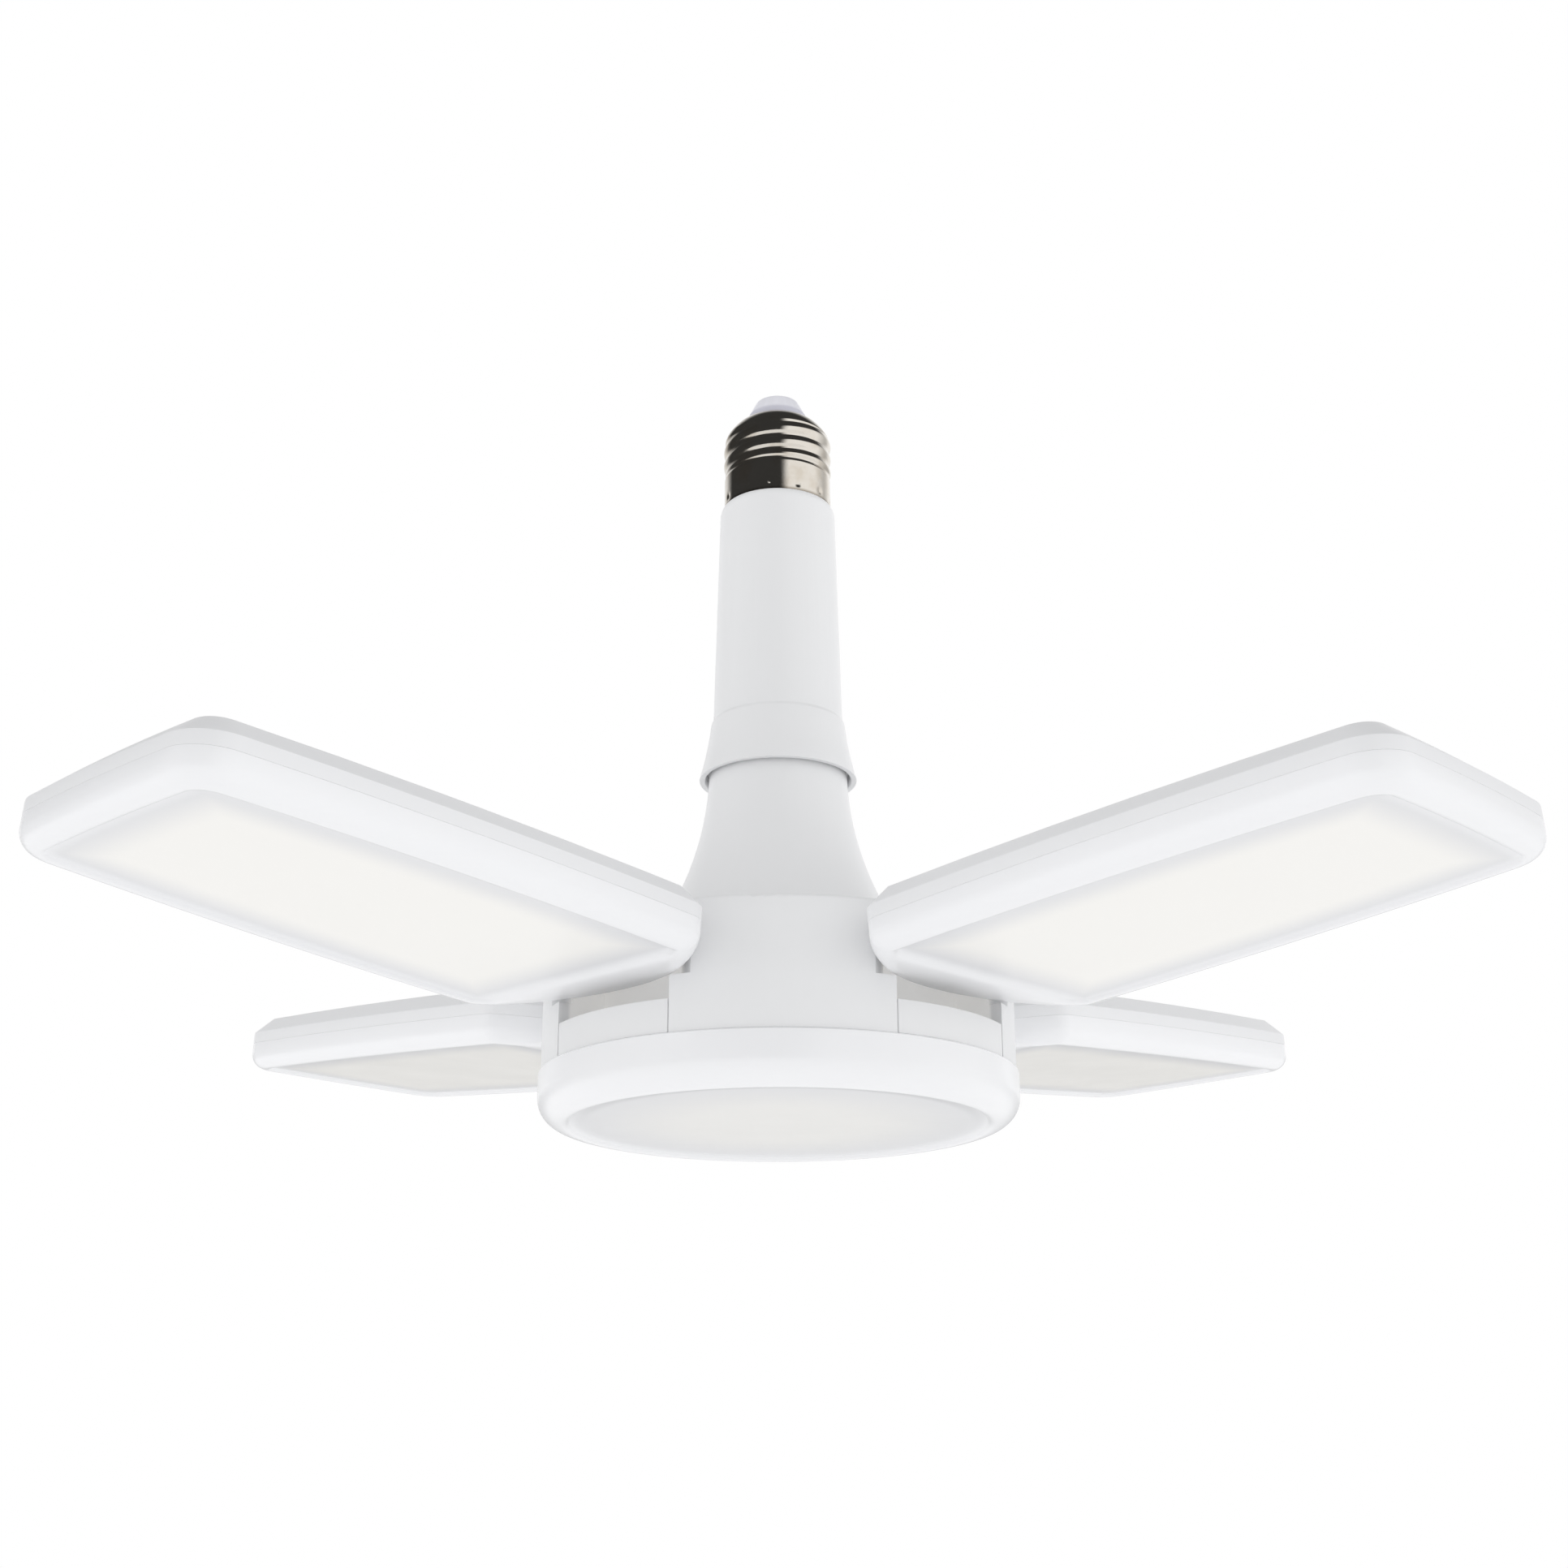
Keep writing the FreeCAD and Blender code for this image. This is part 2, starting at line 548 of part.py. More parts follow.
def plate_screws():
    body = new_body("plate_screws", loose=True)
    head_top = d.drum_foot - d.plate_thick - d.close_gap
    head = disc(new_sketch(body, "XY_Plane", "head", head_top - d.head_height), d.boss_place,
                d.boss_place, d.head_radius)
    shank = disc(new_sketch(body, "XY_Plane", "shank", head_top), d.boss_place, d.boss_place,
                 d.screw_radius)
    steps = [pad(body, head, d.head_height), pad(body, shank, d.screw_length)]
    around(body, steps)
    return place(body, QUARTER_TURN)


def centre_leds():
    """Two rings of flat light emitters under the centre board."""
    body = new_body("centre_leds", loose=True)
    foot = d.drum_foot - d.plate_thick - d.board_thick - d.chip_high - d.close_gap
    for ring, count in zip((d.inner_ring, d.outer_ring), RING_CHIPS):
        sketch = new_sketch(body, "XY_Plane", f"chip_{count}", foot)
        rectangle(sketch, ring - d.chip_long / 2, ring + d.chip_long / 2, -d.chip_wide / 2,
                  d.chip_wide / 2)
        around(body, [pad(body, sketch, d.chip_high)], count)
    return place(body, QUARTER_TURN)


def centre_lens():
    """Milky dish of even wall with a big rounded lower edge."""
    body = new_body("centre_lens")
    inside = d.lens_radius - d.lens_wall
    corners = [(0.0, 0.0), (d.lens_radius - d.lens_round, 0.0),
               (d.lens_radius, d.lens_round, d.lens_round), (d.lens_radius, d.lens_rim),
               (inside, d.lens_rim), (inside, d.lens_round),
               (d.lens_radius - d.lens_round, d.lens_wall, d.lens_wall - d.lens_round),
               (0.0, d.lens_wall)]
    turned(body, closed_outline(new_sketch(body, "XZ_Plane", "profile"), corners))
    return place(body)


# ---------------------------------------------------------------- driver

def driver_can(name, x, y, radius, height, waist=0.0):
    """Round component on the driver board; a coil has a narrower waist between its cheeks."""
    body = new_body(name)
    foot = d.driver_height + d.board_thick
    cheek = height / 6
    corners = [(0.0, foot), (radius, foot), (radius, foot + cheek)]
    if waist:
        corners += [(waist, foot + cheek), (waist, foot + height - cheek)]
    corners += [(radius, foot + height - cheek), (radius, foot + height), (0.0, foot + height)]
    turned(body, closed_outline(new_sketch(body, "XZ_Plane", "profile"), corners))
    place(body)
    body.Placement.Base = FreeCAD.Vector(x, y, body.Placement.Base.z)
    return body


def driver_block(name, x, y, size):
    body = new_body(name)
    long, wide, high = size
    sketch = new_sketch(body, "XY_Plane", "foot", d.driver_height + d.board_thick)
    rectangle(sketch, x - long / 2, x + long / 2, y - wide / 2, y + wide / 2)
    pad(body, sketch, high)
    return place(body)


# ---------------------------------------------------------------- leaf

def meeting_point(first, first_reach, second, second_reach, side):
    """Where two circles cross, on the wanted side of the leaf's middle line."""
    gap = second - first
    span = gap.Length
    along = (first_reach ** 2 - second_reach ** 2 + span ** 2) / (2 * span)
    aside = math.sqrt(first_reach ** 2 - along ** 2)
    direction = gap / span
    foot = first + direction * along
    normal = FreeCAD.Vector(-direction.y, direction.x, 0) * aside
    choices = (foot + normal, foot - normal)
    return max(choices, key=lambda point: point.x * side)


def leaf_outline(body, name, height, inset=None, tip_shift=None):
    """Eight tangent arcs: a bowed inner end, long sides, a nearly straight outer end, four corners.

    The inset draws every arc in by the same amount about its own centre, and the
    tip shift moves the inner end outwards, past the hinge block.
    """
    sketch = new_sketch(body, "XY_Plane", name, height)
    inset = 0.0 if inset is None else inset
    tip_shift = 0.0 if tip_shift is None else tip_shift
    tip_x = d.leaf_tip + d.tip_arc + tip_shift
    end_x = d.leaf_end - d.end_arc
    side_y = d.leaf_half - d.side_arc
    tip_radius, end_radius, side_radius = d.tip_arc - inset, d.end_arc - inset, d.side_arc - inset
    corners = {}
    for key, whole in (("tip", d.tip_corner), ("end", d.end_corner)):
        drawn_in = whole - inset
        corners[key] = drawn_in if drawn_in > d.least_corner else d.least_corner
    vector = FreeCAD.Vector
    tip_centre, end_centre = vector(float(tip_x), 0, 0), vector(float(end_x), 0, 0)
    upper = vector(float(d.leaf_wide), float(side_y), 0)
    lower = vector(float(d.leaf_wide), -float(side_y), 0)
    end_up = meeting_point(upper, float(side_radius - corners["end"]), end_centre,
                           float(end_radius - corners["end"]), 1)
    tip_up = meeting_point(upper, float(side_radius - corners["tip"]), tip_centre,
                           float(tip_radius - corners["tip"]), -1)
    end_down = vector(end_up.x, -end_up.y, 0)
    tip_down = vector(tip_up.x, -tip_up.y, 0)
    arcs = [(end_centre, end_radius), (end_up, corners["end"]), (upper, side_radius),
            (tip_up, corners["tip"]), (tip_centre, tip_radius), (tip_down, corners["tip"]),
            (lower, side_radius), (end_down, corners["end"])]
    joints = []
    for index, (centre, radius) in enumerate(arcs):
        following, next_radius = arcs[(index + 1) % len(arcs)]
        big, small, reach = ((centre, following, radius) if float(radius) > float(next_radius)
                             else (following, centre, next_radius))
        direction = small - big
        direction.normalize()
        joints.append(big + direction * float(reach))
    for index, (centre, radius) in enumerate(arcs):
        start, stop = joints[index - 1] - centre, joints[index] - centre
        circle = Part.Circle(centre, vector(0, 0, 1), float(radius))
        sketch.addGeometry(Part.ArcOfCircle(circle, math.atan2(start.y, start.x),
                                            math.atan2(stop.y, stop.x)), False)
    for index in range(len(arcs)):
        sketch.addConstraint(Sketcher.Constraint("Tangent", index, 2, (index + 1) % len(arcs), 1))
    for index, (_, radius) in enumerate(arcs):
        fix(sketch, "Radius", index, value=radius)
    fix_point(sketch, 0, 3, end_x, 0.0)
    fix_point(sketch, 4, 3, tip_x, 0.0)
    fix_point(sketch, 2, 3, d.leaf_wide, side_y)
    fix_point(sketch, 6, 3, d.leaf_wide, -side_y)
    return sketch


def leaf_cover(name, azimuth):
    """Opaque back of a leaf: chamfered top edge, hollow inside, hinge knuckle and duct."""
    body = new_body(name)
    pad(body, leaf_outline(body, "outline", d.parting), d.cover_top - d.parting)
    solid = body.Tip
    chamfer = body.newObject("PartDesign::Chamfer", f"{name}_top_edge")
    chamfer.Base = (solid, edges_at(solid.Shape, d.cover_top))
    chamfer.ChamferType = "Two distances"
    set_size(chamfer, "Size", d.chamfer_run)
    set_size(chamfer, "Size2", d.chamfer_rise)
    doc.recompute()
    step = d.cover_top - d.chamfer_rise
    roof = d.cover_top - d.roof_thick
    pocket(body, leaf_outline(body, "rim_hollow", d.parting, d.leaf_wall, d.block_reach),
           step - d.parting)
    pocket(body, leaf_outline(body, "deep_hollow", step, d.deep_inset, d.block_reach), roof - step)
    for reach in (d.stud_near, d.stud_far):
        for side in (-1, 1):
            stud = new_sketch(body, "XY_Plane", f"stud_{int(reach)}_{side + 1}", step)
            disc(stud, reach, d.stud_side * side, d.stud_radius)
            disc(stud, reach, d.stud_side * side, d.leaf_screw + d.close_gap)
            pad(body, stud, roof - step)
    knuckle = disc(new_sketch(body, "XZ_Plane", "knuckle"), 0.0, 0.0, d.knuckle_radius)
    pad(body, knuckle, d.knuckle_half * 2, both_ways=True)
    for side, inner, outer in (("right", -d.notch_outer, -d.knuckle_half),
                               ("left", d.knuckle_half, d.notch_outer)):
        notch = new_sketch(body, "XY_Plane", f"notch_{side}", d.parting)
        rectangle(notch, d.leaf_tip - CUT_PAST, d.notch_reach, inner, outer)
        pocket(body, notch, d.cover_top - d.parting + CUT_PAST)
    bore = disc(new_sketch(body, "XZ_Plane", "pin_bore"), 0.0, 0.0, d.pin_radius + d.close_gap)
    pocket(body, bore, (d.knuckle_half + CUT_PAST) * 2, both_ways=True)
    duct = disc(new_sketch(body, "YZ_Plane", "duct", d.leaf_tip - CUT_PAST), 0.0, d.duct_height,
                d.duct_radius)
    pocket(body, duct, d.block_reach + d.leaf_wall + CUT_PAST * 2)
    return place_at_hinge(body, azimuth, d.rest_tilt)


def leaf_lens(name, azimuth):
    """Milky front of a leaf: a shallow tray with a rounded edge, bevelled at its inner end."""
    body = new_body(name)
    pad(body, leaf_outline(body, "outline", d.lens_foot), d.parting - d.lens_foot)
    solid = body.Tip
    edge = body.newObject("PartDesign::Fillet", f"{name}_edge")
    edge.Base = (solid, edges_at(solid.Shape, d.lens_foot))
    set_size(edge, "Radius", d.lens_edge)
    doc.recompute()
    floor = d.lens_foot + d.leaf_wall
    step = d.lens_foot + d.lens_edge
    pocket(body, leaf_outline(body, "rim_hollow", step, d.leaf_wall), d.parting - step)
    pocket(body, leaf_outline(body, "deep_hollow", floor, d.lens_edge, d.bevel_block), step - floor)
    past_tip = d.bevel_start - d.bevel_run
    bevel = new_sketch(body, "XZ_Plane", "bevel")
    closed_outline(bevel, [(d.bevel_start, d.lens_foot), (past_tip, d.lens_foot + d.bevel_rise),
                           (past_tip, d.lens_foot - CUT_PAST)])
    pocket(body, bevel, d.leaf_half * 2, both_ways=True)
    return place_at_hinge(body, azimuth, d.rest_tilt)


def leaf_board(name, azimuth):
    body = new_body(name)
    top = d.cover_top - d.chamfer_rise
    pad(body, leaf_outline(body, "outline", top - d.leaf_board, d.board_inset, d.block_reach),
        d.leaf_board)
    for reach in (d.stud_near, d.stud_far):
        for side in (-1, 1):
            hole = new_sketch(body, "XY_Plane", f"hole_{int(reach)}_{side + 1}", top - d.leaf_board)
            disc(hole, reach, d.stud_side * side, d.leaf_screw + d.close_gap)
            pocket(body, hole, d.leaf_board)
    return place_at_hinge(body, azimuth, d.rest_tilt)


def leaf_leds(name, azimuth):
    """Two rows of flat light emitters, facing the lens."""
    body = new_body(name, loose=True)
    foot = d.cover_top - d.chamfer_rise - d.leaf_board - d.chip_high
    sketch = new_sketch(body, "XY_Plane", "chip", foot)
    rectangle(sketch, d.chip_start, d.chip_start + d.chip_long, d.chip_side - d.chip_wide / 2,
              d.chip_side + d.chip_wide / 2)
    chip = pad(body, sketch, d.chip_high)
    rows = body.newObject("PartDesign::LinearPattern", f"{name}_rows")
    rows.Originals = [chip]
    axes = {f.Role: f for f in body.Origin.OriginFeatures}
    rows.Direction = (axes["X_Axis"], [""])
    set_size(rows, "Length", d.chip_run)
    rows.Occurrences = LEAF_CHIPS
    rows.Direction2 = (axes["Y_Axis"], [""])
    rows.Reversed2 = True
    set_size(rows, "Length2", d.chip_side * 2)
    rows.Occurrences2 = 2
    body.Tip = rows
    doc.recompute()
    return place_at_hinge(body, azimuth, d.rest_tilt)


def leaf_screws(name, azimuth):
    body = new_body(name, loose=True)
    head_top = d.cover_top - d.chamfer_rise - d.leaf_board - d.close_gap
    head_height = d.head_height / 2
    for reach in (d.stud_near, d.stud_far):
        for side in (-1, 1):
            label = f"{int(reach)}_{side + 1}"
            head = new_sketch(body, "XY_Plane", f"head_{label}", head_top - head_height)
            pad(body, disc(head, reach, d.stud_side * side, d.leaf_screw_head), head_height)
            shank = new_sketch(body, "XY_Plane", f"shank_{label}", head_top)
            pad(body, disc(shank, reach, d.stud_side * side, d.leaf_screw), d.leaf_screw_long)
    return place_at_hinge(body, azimuth, d.rest_tilt)


def leaf_lead(name, azimuth):
    """Lead from the leaf's board through the duct to the bay."""
    body = new_body(name)
    sketch = disc(new_sketch(body, "YZ_Plane", "section", d.lead_start), 0.0, d.duct_height,
                  d.lead_radius)
    pad(body, sketch, d.block_reach)
    return place_at_hinge(body, azimuth, d.rest_tilt)


# ---------------------------------------------------------------- the whole light

def build():
    plate_foot = d.drum_foot - d.plate_thick - d.close_gap
    pieces = [
        screw_shell(), cap_insulator(), centre_contact(), neck_tube(),
        straight_wires("neck_wires", d.stub_top + d.loose_gap, d.cone_seat, 0.0),
        hub_body(),
        swivel_ring("swivel_washer", d.ledge_top + d.running_gap, d.washer_thick, d.washer_radius),
        swivel_ring("swivel_nut", d.ledge_top + d.running_gap + d.washer_thick, d.nut_thick,
                    d.nut_radius, flats=6),
        lower_frame(),
        round_plate("heat_plate", plate_foot, d.plate_thick, d.plate_radius, True),
        round_plate("centre_board", plate_foot - d.board_thick, d.board_thick, d.lamp_radius, False),
        centre_leds(), plate_screws(), centre_lens(),
        round_plate("driver_board", d.driver_height, d.board_thick, d.driver_radius, False),
        driver_can("input_capacitor", 14.0, 10.0, 5.0, 14.0),
        driver_can("choke_coil", -13.0, 12.0, 6.0, 10.0, waist=4.2),
        driver_block("film_capacitor", -14.0, -10.0, (13.0, 6.0, 11.0)),
        driver_block("bridge_rectifier", 10.0, -12.0, (6.5, 5.0, 2.4)),
        driver_block("terminal_block", 0.0, -22.0, (16.0, 7.0, 8.0)),
        straight_wires("hub_wires", d.driver_height + d.board_thick, d.stub_top, 0.0),
        hinge_washers(),
    ]
    for leaf, azimuth in LEAVES.items():
        pieces.append(hinge_pin(f"{leaf}_pin", azimuth))
        pieces.append(leaf_cover(f"{leaf}_cover", azimuth))
        pieces.append(leaf_lens(f"{leaf}_lens", azimuth))
        pieces.append(leaf_board(f"{leaf}_board", azimuth))
        pieces.append(leaf_leds(f"{leaf}_leds", azimuth))
        pieces.append(leaf_screws(f"{leaf}_screws", azimuth))
        pieces.append(leaf_lead(f"{leaf}_lead", azimuth))
    doc.recompute()
    return pieces


def write(pieces):
    for item in doc.Objects:
        if "Invalid" in item.State or "Error" in item.State:
            raise RuntimeError(f"{item.Label} failed: {item.State}")
    for piece in pieces:
        if piece.Shape.isNull() or not piece.Shape.isValid():
            raise RuntimeError(f"{piece.Label} has no valid shape")
    os.makedirs("parts", exist_ok=True)
    for piece in pieces:
        piece.Shape.exportStep(f"parts/{piece.Label}.step")


write(build())
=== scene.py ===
import json
import math

import bmesh
import bpy
from mathutils import Matrix, Vector

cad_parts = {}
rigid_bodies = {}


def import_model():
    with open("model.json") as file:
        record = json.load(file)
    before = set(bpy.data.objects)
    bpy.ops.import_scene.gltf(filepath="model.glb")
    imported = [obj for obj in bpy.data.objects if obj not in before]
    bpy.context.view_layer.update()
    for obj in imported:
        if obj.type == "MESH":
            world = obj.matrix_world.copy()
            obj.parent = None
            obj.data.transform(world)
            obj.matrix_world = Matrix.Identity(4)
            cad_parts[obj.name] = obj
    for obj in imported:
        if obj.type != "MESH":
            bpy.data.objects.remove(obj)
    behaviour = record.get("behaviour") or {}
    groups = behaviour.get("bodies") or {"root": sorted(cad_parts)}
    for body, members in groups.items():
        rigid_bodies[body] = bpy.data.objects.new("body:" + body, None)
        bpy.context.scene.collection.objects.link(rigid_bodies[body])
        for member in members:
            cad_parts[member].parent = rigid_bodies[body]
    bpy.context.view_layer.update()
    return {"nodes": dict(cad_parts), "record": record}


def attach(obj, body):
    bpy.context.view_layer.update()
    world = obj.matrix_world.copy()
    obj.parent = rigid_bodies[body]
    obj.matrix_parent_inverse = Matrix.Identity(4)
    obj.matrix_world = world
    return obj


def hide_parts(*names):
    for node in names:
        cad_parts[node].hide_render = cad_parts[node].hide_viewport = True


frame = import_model()

# Sizes of the pieces are in millimetres and heights count from the bottom of the centre lens.
MM = 0.001
CAP_SEAT = 150.3          # where the origin is
LEAVES = {"back_right": 45, "back_left": 135, "front_left": 225, "front_right": 315}
HINGE_RADIUS, HINGE_HEIGHT = 51.0, 34.8
REST_TILT = 5.05          # degrees that a leaf rises outwards


# ---------------------------------------------------------------- shader nodes

class Value:
    """A socket in a material that can be used in sums, as a number can."""

    def __init__(self, finish, socket):
        self.finish, self.socket = finish, socket

    def maths(self, operation, *others):
        return self.finish.sum_node(operation, self, *others)

    def __add__(self, other):
        return self.maths("ADD", other)

    def __sub__(self, other):
        return self.maths("SUBTRACT", other)

    def __rsub__(self, other):
        return self.finish.sum_node("SUBTRACT", other, self)

    def __mul__(self, other):
        return self.maths("MULTIPLY", other)

    def __truediv__(self, other):
        return self.maths("DIVIDE", other)

    def __rtruediv__(self, other):
        return self.finish.sum_node("DIVIDE", other, self)

    __radd__, __rmul__ = __add__, __mul__

    def power(self, other):
        return self.maths("POWER", other)

    def wave(self):
        return self.maths("SINE")

    def positive(self):
        return self.maths("MAXIMUM", 0.0)

    def step(self, low, high):
        """0 below low, 1 above high, and eased between them."""
        return self.finish.node("ShaderNodeMapRange", {"interpolation_type": "SMOOTHSTEP"},
                                {"Value": self, "From Min": low, "From Max": high})


class Finish:
    """A procedural material: its nodes, its shader and the coordinates of the piece."""

    def __init__(self, name, **uniform):
        self.material = bpy.data.materials.new(name)
        self.material.use_nodes = True
        self.nodes = self.material.node_tree.nodes
        self.links = self.material.node_tree.links
        self.shader = self.nodes["Principled BSDF"]
        for socket, value in uniform.items():
            self.shader.inputs[socket.replace("_", " ")].default_value = value

    def node(self, kind, settings=None, inputs=None, output=0):
        """Adds a node and gives back one of its outputs."""
        made = self.nodes.new(kind)
        for key, value in (settings or {}).items():
            setattr(made, key, value)
        for key, value in (inputs or {}).items():
            if isinstance(value, Value):
                self.links.new(value.socket, made.inputs[key])
            else:
                made.inputs[key].default_value = value
        return Value(self, made.outputs[output])

    def sum_node(self, operation, *values):
        return self.node("ShaderNodeMath", {"operation": operation}, dict(enumerate(values)))

    def place(self):
        """Where the point is in the piece, in metres."""
        return self.node("ShaderNodeTexCoord", output="Object")

    def split(self, vector, axis):
        return self.node("ShaderNodeSeparateXYZ", inputs={0: vector}, output=axis)

    def radius(self):
        """Distance from the light's own axis."""
        across, along = self.split(self.place(), "X"), self.split(self.place(), "Y")
        return (across * across + along * along).power(0.5)

    def attribute(self, name):
        return self.node("ShaderNodeAttribute", {"attribute_name": name}, output="Fac")

    def noise(self, scale, detail=3.0, stretch=(1.0, 1.0, 1.0)):
        at = self.node("ShaderNodeVectorMath", {"operation": "MULTIPLY"}, {0: self.place(), 1: stretch})
        return self.node("ShaderNodeTexNoise", inputs={"Vector": at, "Scale": scale, "Detail": detail})

    def mix(self, factor, first, second):
        """Colour that goes from the first to the second."""
        return self.node("ShaderNodeMix", {"data_type": "RGBA"}, {0: factor, 6: first, 7: second}, output=2)

    def feed(self, socket, value):
        self.links.new(value.socket, self.shader.inputs[socket])

    def bump(self, height, strength, distance):
        self.feed("Normal", self.node("ShaderNodeBump", inputs={"Strength": strength, "Distance": distance,
                                                                "Height": height}))


def colour(red, green, blue):
    return (red, green, blue, 1.0)


def shade(tint, share):
    return colour(*(part * share for part in tint))


BLACK, WHITE = colour(0.0, 0.0, 0.0), colour(1.0, 1.0, 1.0)


# ---------------------------------------------------------------- materials

# Where the walls inside the bays are, in metres: within the first radius, between foot and roof.
BAY_RADIUS, BAY_FOOT, BAY_ROOF = (0.0492, 0.0505), (-0.135, -0.13), (-0.112, -0.106)
# Painted light: a faint emission on the walls inside the bays lightens their shade, though they are no
# lamp.
BAY_PAINTED_LIGHT = colour(0.15, 0.145, 0.135)


def white_plastic(name, tint, grain=2600.0, painted_bay_light=False):
    """Satin moulded plastic: flow variation and a very fine grain; the bays' walls can get painted light, a
    faint emission that lightens the shade on them.
    """
    finish = Finish(name, Specular_IOR_Level=0.4)
    flow = finish.noise(9.0, 2.0, (1.0, 1.0, 0.35))
    finish.feed("Base Color", finish.mix(flow, shade(tint, 0.972), colour(*tint)))
    finish.feed("Roughness", finish.noise(34.0) * 0.12 + 0.33)
    finish.bump(finish.noise(grain, 2.0) + flow * 0.6, 0.06, 0.0002)
    if painted_bay_light:
        # Painted light: the bay walls glow faintly so that the shade inside the bays is lighter.
        inside = 1.0 - finish.radius().step(*BAY_RADIUS)
        height = finish.split(finish.place(), "Z")
        lit = inside * height.step(*BAY_FOOT) * (1.0 - height.step(*BAY_ROOF))
        finish.feed("Emission Color", finish.mix(lit, BLACK, BAY_PAINTED_LIGHT))
        finish.shader.inputs["Emission Strength"].default_value = 1.0
    return finish.material


LAMP_TINT = (1.0, 0.95, 0.84)


def lens_plastic(name, distance_in, rim, warm_from, warm_to, lamp_share):
    """Milky plastic: white rim; on the panel, painted shade makes the colour darker and cooler towards its
    edge, and painted light makes it lighter and warmer within, where its own lamp glows warm and bright.

    distance_in gives how far in from the lens's outline a point is, in metres, as the next
    three values are; lamp_share is how much light of its own the panel gives."""
    finish = Finish(name, Specular_IOR_Level=0.45, Emission_Strength=1.0)
    edge = distance_in(finish)
    on_panel = edge.step(rim - 0.0008, rim + 0.003)
    warm = edge.step(warm_from, warm_to)
    cloud = finish.noise(16.0, 2.0)
    # Painted shade and painted light: the panel's colour is darker and cooler near its edge and lighter and
    # warmer within, following its lamp's glow.
    painted_edge_shade, painted_lit_tint = colour(0.74, 0.745, 0.765), colour(0.79, 0.785, 0.77)
    panel = finish.mix(warm, painted_edge_shade, painted_lit_tint)
    white = finish.mix(cloud, colour(0.88, 0.885, 0.905), colour(0.9, 0.905, 0.92))
    finish.feed("Base Color", finish.mix(on_panel, white, panel))
    glow = on_panel * warm * (0.9 + cloud * 0.2)
    finish.feed("Emission Color", finish.mix(glow, BLACK, shade(LAMP_TINT, lamp_share)))
    finish.feed("Roughness", finish.noise(60.0) * 0.08 + 0.2)
    finish.bump(finish.noise(1900.0, 2.0), 0.04, 0.0002)
    return finish.material


def nickel():
    """Polished plate on rolled brass: turned lines, small pits, warm patches and a dark seat."""
    finish = Finish("nickel", Metallic=1.0)
    height = finish.split(finish.place(), "Z")
    turned_lines = finish.noise(900.0, 4.0, (0.04, 0.04, 1.0))
    patches = finish.noise(160.0, 3.0).step(0.45, 0.75)
    seat = height.step(0.0, 0.0009)
    plate = finish.mix(patches, colour(0.70, 0.66, 0.60), colour(0.60, 0.54, 0.46))
    finish.feed("Base Color", finish.mix(seat, colour(0.34, 0.30, 0.25), plate))
    finish.feed("Roughness", turned_lines * 0.07 + patches * 0.05 + 0.05)
    finish.bump(turned_lines + finish.noise(700.0) * 0.5, 0.08, 0.0003)
    return finish.material


def glazed_cone():
    """Pale insulator with a dull moulded skin."""
    finish = Finish("insulator", Specular_IOR_Level=0.5)
    height = finish.split(finish.place(), "Z")
    foot = height.step(0.0249, 0.0262)
    finish.feed("Base Color", finish.mix(foot, colour(0.62, 0.62, 0.70), colour(0.84, 0.84, 0.90)))
    finish.feed("Roughness", finish.noise(240.0) * 0.15 + 0.24)
    finish.bump(finish.noise(1500.0), 0.08, 0.0002)
    return finish.material


def metal(name, tint, roughness, brush=(1.0, 1.0, 1.0)):
    """Bare or plated metal with brushed lines and faint stains."""
    finish = Finish(name, Metallic=1.0)
    lines = finish.noise(700.0, 4.0, brush)
    stain = finish.noise(70.0)
    finish.feed("Base Color", finish.mix(stain, shade(tint, 0.82), colour(*tint)))
    finish.feed("Roughness", lines * 0.18 + roughness)
    finish.bump(lines, 0.12, 0.0002)
    return finish.material


def board_white(name):
    """Lamp board: white solder mask over aluminium, with copper tracks showing through."""
    finish = Finish(name, Roughness=0.42)
    across = finish.split(finish.place(), "X") * 900.0
    tracks = across.wave().step(0.86, 0.94) * finish.noise(55.0).step(0.42, 0.5)
    mask = finish.mix(finish.noise(120.0), colour(0.80, 0.81, 0.80), colour(0.88, 0.88, 0.86))
    finish.feed("Base Color", finish.mix(tracks, mask, colour(0.70, 0.71, 0.62)))
    finish.bump(tracks, 0.3, 0.0001)
    return finish.material


def circuit_green():
    """Driver board: green mask with darker tracks and a woven ground."""
    finish = Finish("circuit_green", Roughness=0.38)
    across, along = finish.split(finish.place(), "X"), finish.split(finish.place(), "Y")
    tracks = ((across * 1400.0).wave() * (along * 900.0).wave()).step(0.35, 0.5)
    weave = (across * 9000.0).wave() * (along * 9000.0).wave()
    finish.feed("Base Color", finish.mix(tracks, colour(0.03, 0.16, 0.07), colour(0.06, 0.27, 0.12)))
    finish.bump(weave * 0.2 + tracks, 0.25, 0.0001)
    return finish.material


def phosphor():
    """Light emitter: yellow phosphor with a fine grain."""
    finish = Finish("phosphor", Roughness=0.35)
    depth = finish.split(finish.place(), "Z")
    grain = finish.noise(2400.0, 2.0)
    finish.feed("Base Color", finish.mix(grain, colour(0.86, 0.74, 0.30), colour(0.92, 0.86, 0.52)))
    finish.bump(grain + depth, 0.3, 0.0001)
    return finish.material


def dull_plastic(name, tint, roughness):
    """Small moulded or sleeved part with a mottled, slightly rough skin."""
    finish = Finish(name)
    mottle = finish.noise(180.0)
    finish.feed("Base Color", finish.mix(mottle, shade(tint, 0.78), colour(*tint)))
    finish.feed("Roughness", mottle * 0.2 + roughness)
    finish.bump(finish.noise(1500.0), 0.12, 0.0002)
    return finish.material


